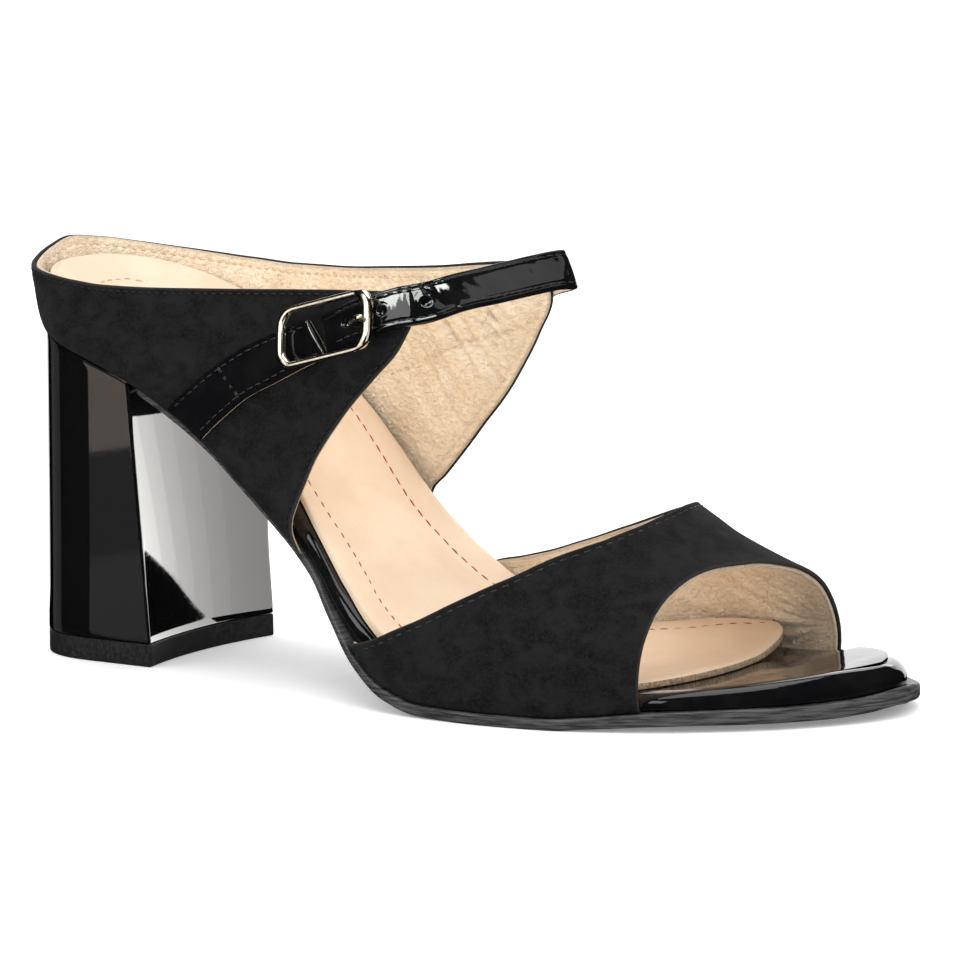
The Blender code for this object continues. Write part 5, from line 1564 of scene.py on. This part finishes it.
# ---- strap, tab and buckle -----------------------------------------------------------
def ribbon_grid(centre, across, normal, width, step_v=0.32):
    half = width / 2
    v = levels_from_edges(width, int(width / step_v), True, True) - half
    P = centre[:, None] + across[:, None] * v[None, :, None]
    N = np.repeat(normal[:, None], len(v), 1)
    return P, N, np.repeat((half - np.abs(v))[None], len(centre), 0), np.repeat(v[None], len(centre), 0)


STRAP_HOLES = [dict(x=7.0, v=0.2), dict(x=15.9, v=0.2), dict(x=25.1, v=0.2)]
fine_c, fine_a, fine_n = strap_line(700)
arc = np.concatenate([[0], np.cumsum(np.linalg.norm(np.diff(fine_c, axis=0), axis=1))])
pick = np.concatenate([EDGE_ROWS, np.arange(2.0, 48, 0.28), np.arange(48, arc[-1] - 2, 0.7),
                       arc[-1] - EDGE_ROWS[::-1]])
take = lambda t: np.stack([np.interp(pick, arc, t[:, k]) for k in range(3)], -1)
c_s, a_s, n_s = take(fine_c), take(fine_a), take(fine_n)
n_s /= np.linalg.norm(n_s, axis=1, keepdims=True)
P, N, side_d, v = ribbon_grid(c_s, a_s, n_s, STRAP_WIDTH)
x = np.repeat(pick[:, None], P.shape[1], 1)
edge = np.minimum(side_d, np.minimum(x, arc[-1] - x))
groove = -0.17 * np.exp(-((side_d - 1.25) / 0.30) ** 2)
crown = 0.22 * (1 - (np.abs(v) / 4.5) ** 2)
holes = np.zeros_like(x)
for row in STRAP_HOLES:
    r = np.hypot(x - row["x"], v - row["v"])
    holes += -1.05 * smooth01(r, 1.05, 0.65) + 0.10 * np.exp(-((r - 1.45) / 0.4) ** 2)
waves = 0.05 * ripple(x, v, 9.0, 41) + 0.025 * ripple(x, v, 3.5, 42)
strap_obj = plate("instep_strap", P, N, edge, 1.0, -1.0, [patent, lining], ["strap"],
                  np.stack([x, v, edge], -1), top_disp=groove + crown - 0.2 + holes + waves,
                  back_mat=1, back_from=0.30, radius=0.75)
rows = []
for sign in (-1, 1):
    off = sign * (STRAP_WIDTH / 2 - 1.25)
    span = (pick > 3.0) & (pick < arc[-1] - 3)
    rows.append((c_s[span] + a_s[span] * off + n_s[span] * 0.82, n_s[span]))
# one row across the strap, where it turns down over the inner quarter
fold = int(np.argmin(np.abs(pick - 65.2)))
reach_over = np.linspace(-3.5, 3.5, 30)[:, None]
rows.append((c_s[fold] + a_s[fold] * reach_over + n_s[fold] * 0.86, np.repeat(n_s[fold][None], 30, 0)))
stitches("strap_seam", rows, thread_gloss, length=1.7, pitch=2.25, radius=0.17, lift=0.06,
         arch=0.17)

# tab: upper and lower edge on the quarter
u = np.concatenate([np.linspace(0, 1, 260)])
v = np.concatenate([EDGE_ROWS / 10.3, np.linspace(EDGE_ROWS[-1] / 10.3, 1 - EDGE_ROWS[-1] / 10.3, 24)[1:-1],
                    1 - EDGE_ROWS[::-1] / 10.3])
U, V = np.meshgrid(u, v, indexing="ij")
ta = curve(TAB, "u", "ta")(U) * (1 - V) + curve(TAB, "u", "ba")(U) * V
th = curve(TAB, "u", "th")(U) * (1 - V) + curve(TAB, "u", "bh")(U) * V
P, N = wall(ta, th), wall_normals(ta, th)
du, dv, dl, dr = (distance_to(P, line) for line in (P[:, 0], P[:, -1], P[0], P[-1]))
du[:, 0] = 0; dv[:, -1] = 0; dl[0] = 0; dr[-1] = 0
edge = np.minimum(np.minimum(du, dv), np.minimum(dl, dr))
rim = np.minimum(du, dv)
groove = -0.17 * np.exp(-((rim - 1.25) / 0.30) ** 2)
crown = 0.20 * smooth01(rim, 0.8, 4.5)
waves = 0.05 * ripple(ta, th, 8.0, 43)
loop_obj = plate("buckle_loop", P, N, edge, GAP + STRAP_THICK - 0.1, 0.05, [patent, lining],
      ["buckle_tab"], np.stack([ta, th, edge], -1), top_disp=groove + crown + waves - 0.05,
      back_mat=1, back_from=-1.0, radius=0.7)
up_row = row_contour(P, N, du, 1.25)
low_row = row_contour(P, N, dv, 1.25, start=1)
top_lift = GAP + STRAP_THICK - 0.30
end_row = row_contour(T(P, 0, 1), T(N, 0, 1), T(dl, 0, 1), 1.6)
# row across the tab, with a second thread beside it
tab_rows = [(l[6:-3] + n[6:-3] * top_lift, n[6:-3]) for l, n in (up_row, low_row)]
for at in (106, 109):
    tab_rows.append((P[at, 4:-3] + N[at, 4:-3] * (top_lift + 0.18), N[at, 4:-3]))
stitches("loop_seam", tab_rows,
         thread_gloss, length=1.7, pitch=2.25, radius=0.17, lift=0.06, arch=0.17)

centre, along, across, off = buckle_plane()
LIFT = WIRE / 2 + GAP + 0.7


def sweep(name, points, widths, heights, side_dir, up_dir, mat, replaces, closed, sides=16, power=2.4):
    n = len(points)
    if closed:
        tangent = np.roll(points, -1, 0) - np.roll(points, 1, 0)
    else:
        tangent = np.gradient(points, axis=0)
    tangent /= np.linalg.norm(tangent, axis=1, keepdims=True)
    up = np.tile(up_dir, (n, 1)) if np.ndim(up_dir) == 1 else up_dir
    up = up - tangent * np.sum(up * tangent, 1, keepdims=True)
    up /= np.linalg.norm(up, axis=1, keepdims=True)
    side = np.cross(tangent, up)
    t = np.linspace(0, 2 * np.pi, sides, endpoint=False)
    c = np.sign(np.cos(t)) * np.abs(np.cos(t)) ** (2 / power)
    d = np.sign(np.sin(t)) * np.abs(np.sin(t)) ** (2 / power)
    ring = (points[:, None] + side[:, None] * (c[None, :, None] * widths[:, None, None] / 2)
            + up[:, None] * (d[None, :, None] * heights[:, None, None] / 2))
    quads = []
    span = n if closed else n - 1
    i, j = np.meshgrid(np.arange(span), np.arange(sides), indexing="ij")
    k, l = (j + 1) % sides, (i + 1) % n
    quads = np.stack([i * sides + j, i * sides + k, l * sides + k, l * sides + j], -1).reshape(-1, 4).tolist()
    if not closed:
        quads.append(list(range(sides)))
        quads.append([(n - 1) * sides + q for q in range(sides)])
    mesh = bpy.data.meshes.new(name)
    mesh.from_pydata(to_scene(ring.reshape(-1, 3)).tolist(), [], quads)
    mesh.materials.append(mat)
    bm = bmesh.new()
    bm.from_mesh(mesh)
    bmesh.ops.recalc_face_normals(bm, faces=bm.faces)
    bm.to_mesh(mesh)
    bm.free()
    mesh.shade_smooth()
    obj = bpy.data.objects.new(name, mesh)
    bpy.context.scene.collection.objects.link(obj)
    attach(obj, "root")
    if replaces:
        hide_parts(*replaces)
    return obj


def frame_loop():
    loop = np.array(rounded_rectangle(BUCKLE_LENGTH, BUCKLE_WIDTH, BUCKLE_CORNER, 14))
    loop = resample_n(np.vstack([loop, loop[:1]]), 321)[:-1]
    bow_x = 0.35 * (1 - (2 * loop[:, 1] / BUCKLE_WIDTH) ** 2) * np.sign(loop[:, 0])
    end = smooth01(np.abs(loop[:, 0]), BUCKLE_LENGTH / 2 - 2.6, BUCKLE_LENGTH / 2 - 0.5)
    loop[:, 0] += bow_x * end
    return soften(loop, 6), end


loop, end = frame_loop()
pts = centre + loop[:, :1] * along + loop[:, 1:] * across + off * LIFT
front_end = end * (loop[:, 0] > 0)
buckle_obj = sweep("buckle", pts, 1.35 + 0.70 * end + 0.75 * front_end, 1.5 + 0.25 * end + 0.3 * front_end, None, off, gold,
                   ["buckle_frame"], True)
prong = smooth_line(np.array([[BUCKLE_LENGTH / 2 + row["x"], row["c"], row["h"]] for row in PRONG_LINE]), 60)
pts = centre + prong[:, :1] * along + prong[:, 1:2] * across + off * prong[:, 2:]
taper = np.interp(np.linspace(0, 1, 60), [0, 0.04, 0.15, 0.85, 0.96, 1.0], [0.9, 1.35, 1.55, 1.45, 1.1, 0.5])
prong_obj = sweep("prong", pts, taper, taper * 0.95, None, off, gold,
                  ["buckle_prong"], False, sides=12, power=2.0)


# ---- camera, floor and light -----------------------------------------------------------
scene = bpy.context.scene
az, el, roll = math.radians(-53.67), math.radians(7.07), math.radians(-0.78)
back = np.array([math.sin(az) * math.cos(el), -math.cos(az) * math.cos(el), math.sin(el)])
flat = np.array([math.cos(az), math.sin(az), 0.0])
rise = np.cross(back, flat)
right = math.cos(roll) * flat + math.sin(roll) * rise
up = -math.sin(roll) * flat + math.cos(roll) * rise
aim = np.array([-42.88 - CENTRE_M, -151.85 + CENTRE_S, 50.0])
spot = (aim + 834.07 * back) * MM
cam = bpy.data.objects.new("view", bpy.data.cameras.new("view"))
scene.collection.objects.link(cam)
cam.matrix_world = Matrix(((right[0], up[0], back[0], spot[0]), (right[1], up[1], back[1], spot[1]),
                           (right[2], up[2], back[2], spot[2]), (0, 0, 0, 1)))
cam.data.sensor_width = 36.0
cam.data.lens = 4180.03 / 960 * 36
cam.data.clip_start = 0.01
scene.camera = cam
scene.view_settings.view_transform = "Standard"

world = bpy.data.worlds.new("studio")
scene.world = world
world.use_nodes = True
world.node_tree.nodes["Background"].inputs[0].default_value = (1, 1, 1, 1)
world.node_tree.nodes["Background"].inputs[1].default_value = 1.12
world.cycles_visibility.glossy = False

mesh = bpy.data.meshes.new("floor")
n, size = 9, 60.0
xs = np.linspace(-size, size, n)
grid = np.array([(x, y, 0.0) for x in xs for y in xs])
mesh.from_pydata(grid.tolist(), [], grid_quads(n, n, True).tolist())
floor = bpy.data.objects.new("floor", mesh)
scene.collection.objects.link(floor)
m = Maker("pale_floor", (0.95, 0.95, 0.95), Roughness=0.9, Specular_IOR_Level=0.0,
          Emission_Color=(1, 1, 1, 1), Emission_Strength=0.22)
m.colour(m.mix(m.ramp(m.noise(0.002, 2.0), 0.3, 0.7), (0.94, 0.94, 0.94), (0.96, 0.96, 0.96)))
mesh.materials.append(m.mat)
floor.visible_glossy = False


def lamp(name, at, toward, width, height, glow, colour=(1, 1, 1), diffuse=True, only=None):
    """Rectangular soft light; at and toward in shoe millimetres, glow is its brightness."""
    data = bpy.data.lights.new(name, "AREA")
    data.shape = "RECTANGLE"
    data.size, data.size_y = width * MM, height * MM
    data.energy = glow * math.pi * width * height * MM * MM
    data.color = colour
    obj = bpy.data.objects.new(name, data)
    p, q = Vector(to_scene(at)), Vector(to_scene(toward))
    obj.location = p
    obj.rotation_euler = (p - q).to_track_quat("Z", "Y").to_euler()
    obj.visible_camera = False
    obj.visible_diffuse = diffuse
    if only is not None:
        obj.light_linking.receiver_collection = only
    scene.collection.objects.link(obj)
    return obj


def card(name, start, direction, distance, width, height, glow, colour=(1, 1, 1), **kw):
    """Lamp that is seen only in gloss, in a given direction from a point of the shoe."""
    at = tuple(a + distance * d for a, d in zip(start, direction))
    return lamp(name, at, start, width, height, glow, colour, diffuse=False, **kw)


# backdrop glow behind the shoe
lamp("backdrop", (-560, 1000, 260), (110, 0, 60), 1500, 900, 1.0)
lamp("overhead", (60, 60, 900), (110, 0, 40), 700, 700, 2.2)
def linked(name, *pieces):
    """Collection of the pieces that a lamp is meant for."""
    group = bpy.data.collections.new(name)
    scene.collection.children.link(group)
    for piece in pieces:
        group.objects.link(piece)
    return group


heel_only = linked("heel_gloss_pieces", heel_obj)
strap_only = linked("strap_gloss_pieces", strap_obj, loop_obj)

# strip lights that the heel's breast mirrors, brightest on its outer side; their feet slope, and a
# second light below leaves a dark wedge low in the breast
slope = math.radians(-14.0)
along_e = np.array([math.cos(slope), math.sin(slope)])
rise_f = np.array([-math.sin(slope), math.cos(slope)])
breast_glow = [(20, 6.0), (80, 5.2), (120, 4.2), (154, 3.65), (190, 3.1), (260, 2.65), (330, 2.36), (600, 2.3)]
reach = 0.0
for k, wide in enumerate([30, 30, 30, 30, 30, 36, 42, 50, 60, 70, 90, 110]):
    mid = np.array([15.0, 21.2]) + along_e * (reach + wide / 2) + rise_f * 205
    foot_s = 15.0 + along_e[0] * (reach + wide / 2)
    glow = float(np.interp(foot_s + 20, [g[0] for g in breast_glow], [g[1] for g in breast_glow]))
    obj = lamp("breast_strip_%d" % k, (mid[0], 300, mid[1]), (mid[0], 0, mid[1]), wide, 410, glow,
               (1, 0.985, 0.96), diffuse=False, only=heel_only)
    obj.rotation_euler = (obj.rotation_euler.to_matrix() @ Matrix.Rotation(-slope, 3, "Z")).to_euler()
    reach += wide
lamp("breast_foot", (126, 300, -100), (126, 0, -100), 208, 141, 3.0, (1, 0.985, 0.96), diffuse=False,
     only=heel_only)
back_soft = lamp("back_soft", (259, 345, 60), (259, 0, 60), 160, 440, 2.8, (1, 0.985, 0.96))
back_soft.visible_glossy = False
# daylight on the lining behind the heel seat
lining_only = linked("lining_pieces", bpy.data.objects["quarter_lining"])
lamp("lining_daylight", (-10, -100, 150), (22, 22, 84), 120, 120, 2.1, (1, 0.985, 0.95), only=lining_only)


def beside_heel(name, side, up, width, height, glow, colour=(1, 1, 1)):
    """Card mirrored in the flat outer face of the heel, placed by its offsets there."""
    axis = np.array([-0.66, -0.737, -0.145])
    axis /= np.linalg.norm(axis)
    across = np.cross([0.0, 0.0, 1.0], axis)
    across /= np.linalg.norm(across)
    mid = np.array([38.0, -25.0, 52.0]) + 460 * axis
    at = mid + across * side + np.cross(axis, across) * up
    lamp(name, tuple(at), tuple(at - axis * 460), width, height, glow, colour, diffuse=False, only=heel_only)


# window, wall and skirting in the outer face of the heel, and a pale wall behind it
beside_heel("left_window", 34, 38.5, 92, 80, 1.15, (1, 0.83, 0.72))
beside_heel("left_wall", 34, 0, 92, 300, 0.13)
beside_heel("left_low", 34, -66, 92, 68, 0.26)
card("back_fill", (20, -22, 40), (-0.99, 0.02, -0.10), 500, 200, 500, 0.085, only=heel_only)
# softboxes in the strap, the toe and the edge of the sole
card("strap_patch", (116, -24, 82), (-0.42, -0.66, 0.62), 420, 110, 70, 15.0, (0.94, 1.0, 0.93), only=strap_only)
card("strap_bend_a", (119, -23, 84), (-0.02, -0.66, 0.75), 420, 260, 80, 13.0, (0.94, 1.0, 0.93), only=strap_only)
card("strap_bend_b", (121, -19, 85), (0.50, -0.10, 0.86), 420, 300, 110, 13.0, (0.94, 1.0, 0.93), only=strap_only)
card("strap_bend_c", (121, -15, 86), (0.22, 0.68, 0.70), 420, 46, 30, 14.0, (0.94, 1.0, 0.93), only=strap_only)
card("strap_end", (127, 9, 87), (0.56, 0.44, 0.70), 480, 150, 190, 0.85, only=strap_only)
platform_only = linked("platform_gloss_pieces", platform_obj)
card("toe_top", (204, 14, 9), (-0.53, 0.85, 0.10), 520, 520, 180, 0.55)
card("toe_mid", (196, -10, 9), (-0.56, 0.70, 0.43), 520, 460, 180, 2.0, only=platform_only)
card("toe_high", (196, -16, 9), (-0.50, 0.52, 0.69), 520, 460, 120, 2.6, only=platform_only)
card("sole_edge", (162, -41, 2), (-0.20, -0.70, 0.68), 520, 420, 200, 3.0)

metal_only = linked("buckle_metal_pieces", buckle_obj, prong_obj)
lamp("buckle_front", (-150, -520, 260), (100, -27, 78), 420, 520, 1.05, (1, 0.985, 0.95), only=metal_only)
lamp("buckle_low", (-60, -420, -60), (100, -27, 78), 420, 200, 0.75, (1, 0.97, 0.92), only=metal_only)
lamp("buckle_top", (120, 120, 520), (100, -27, 78), 520, 420, 1.3, (1, 1, 1), only=metal_only)
lamp("buckle_right", (420, -260, 160), (100, -27, 78), 300, 420, 0.8, (1, 0.985, 0.95), only=metal_only)

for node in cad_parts.values():
    if not node.hide_render:
        print("still shown:", node.name)
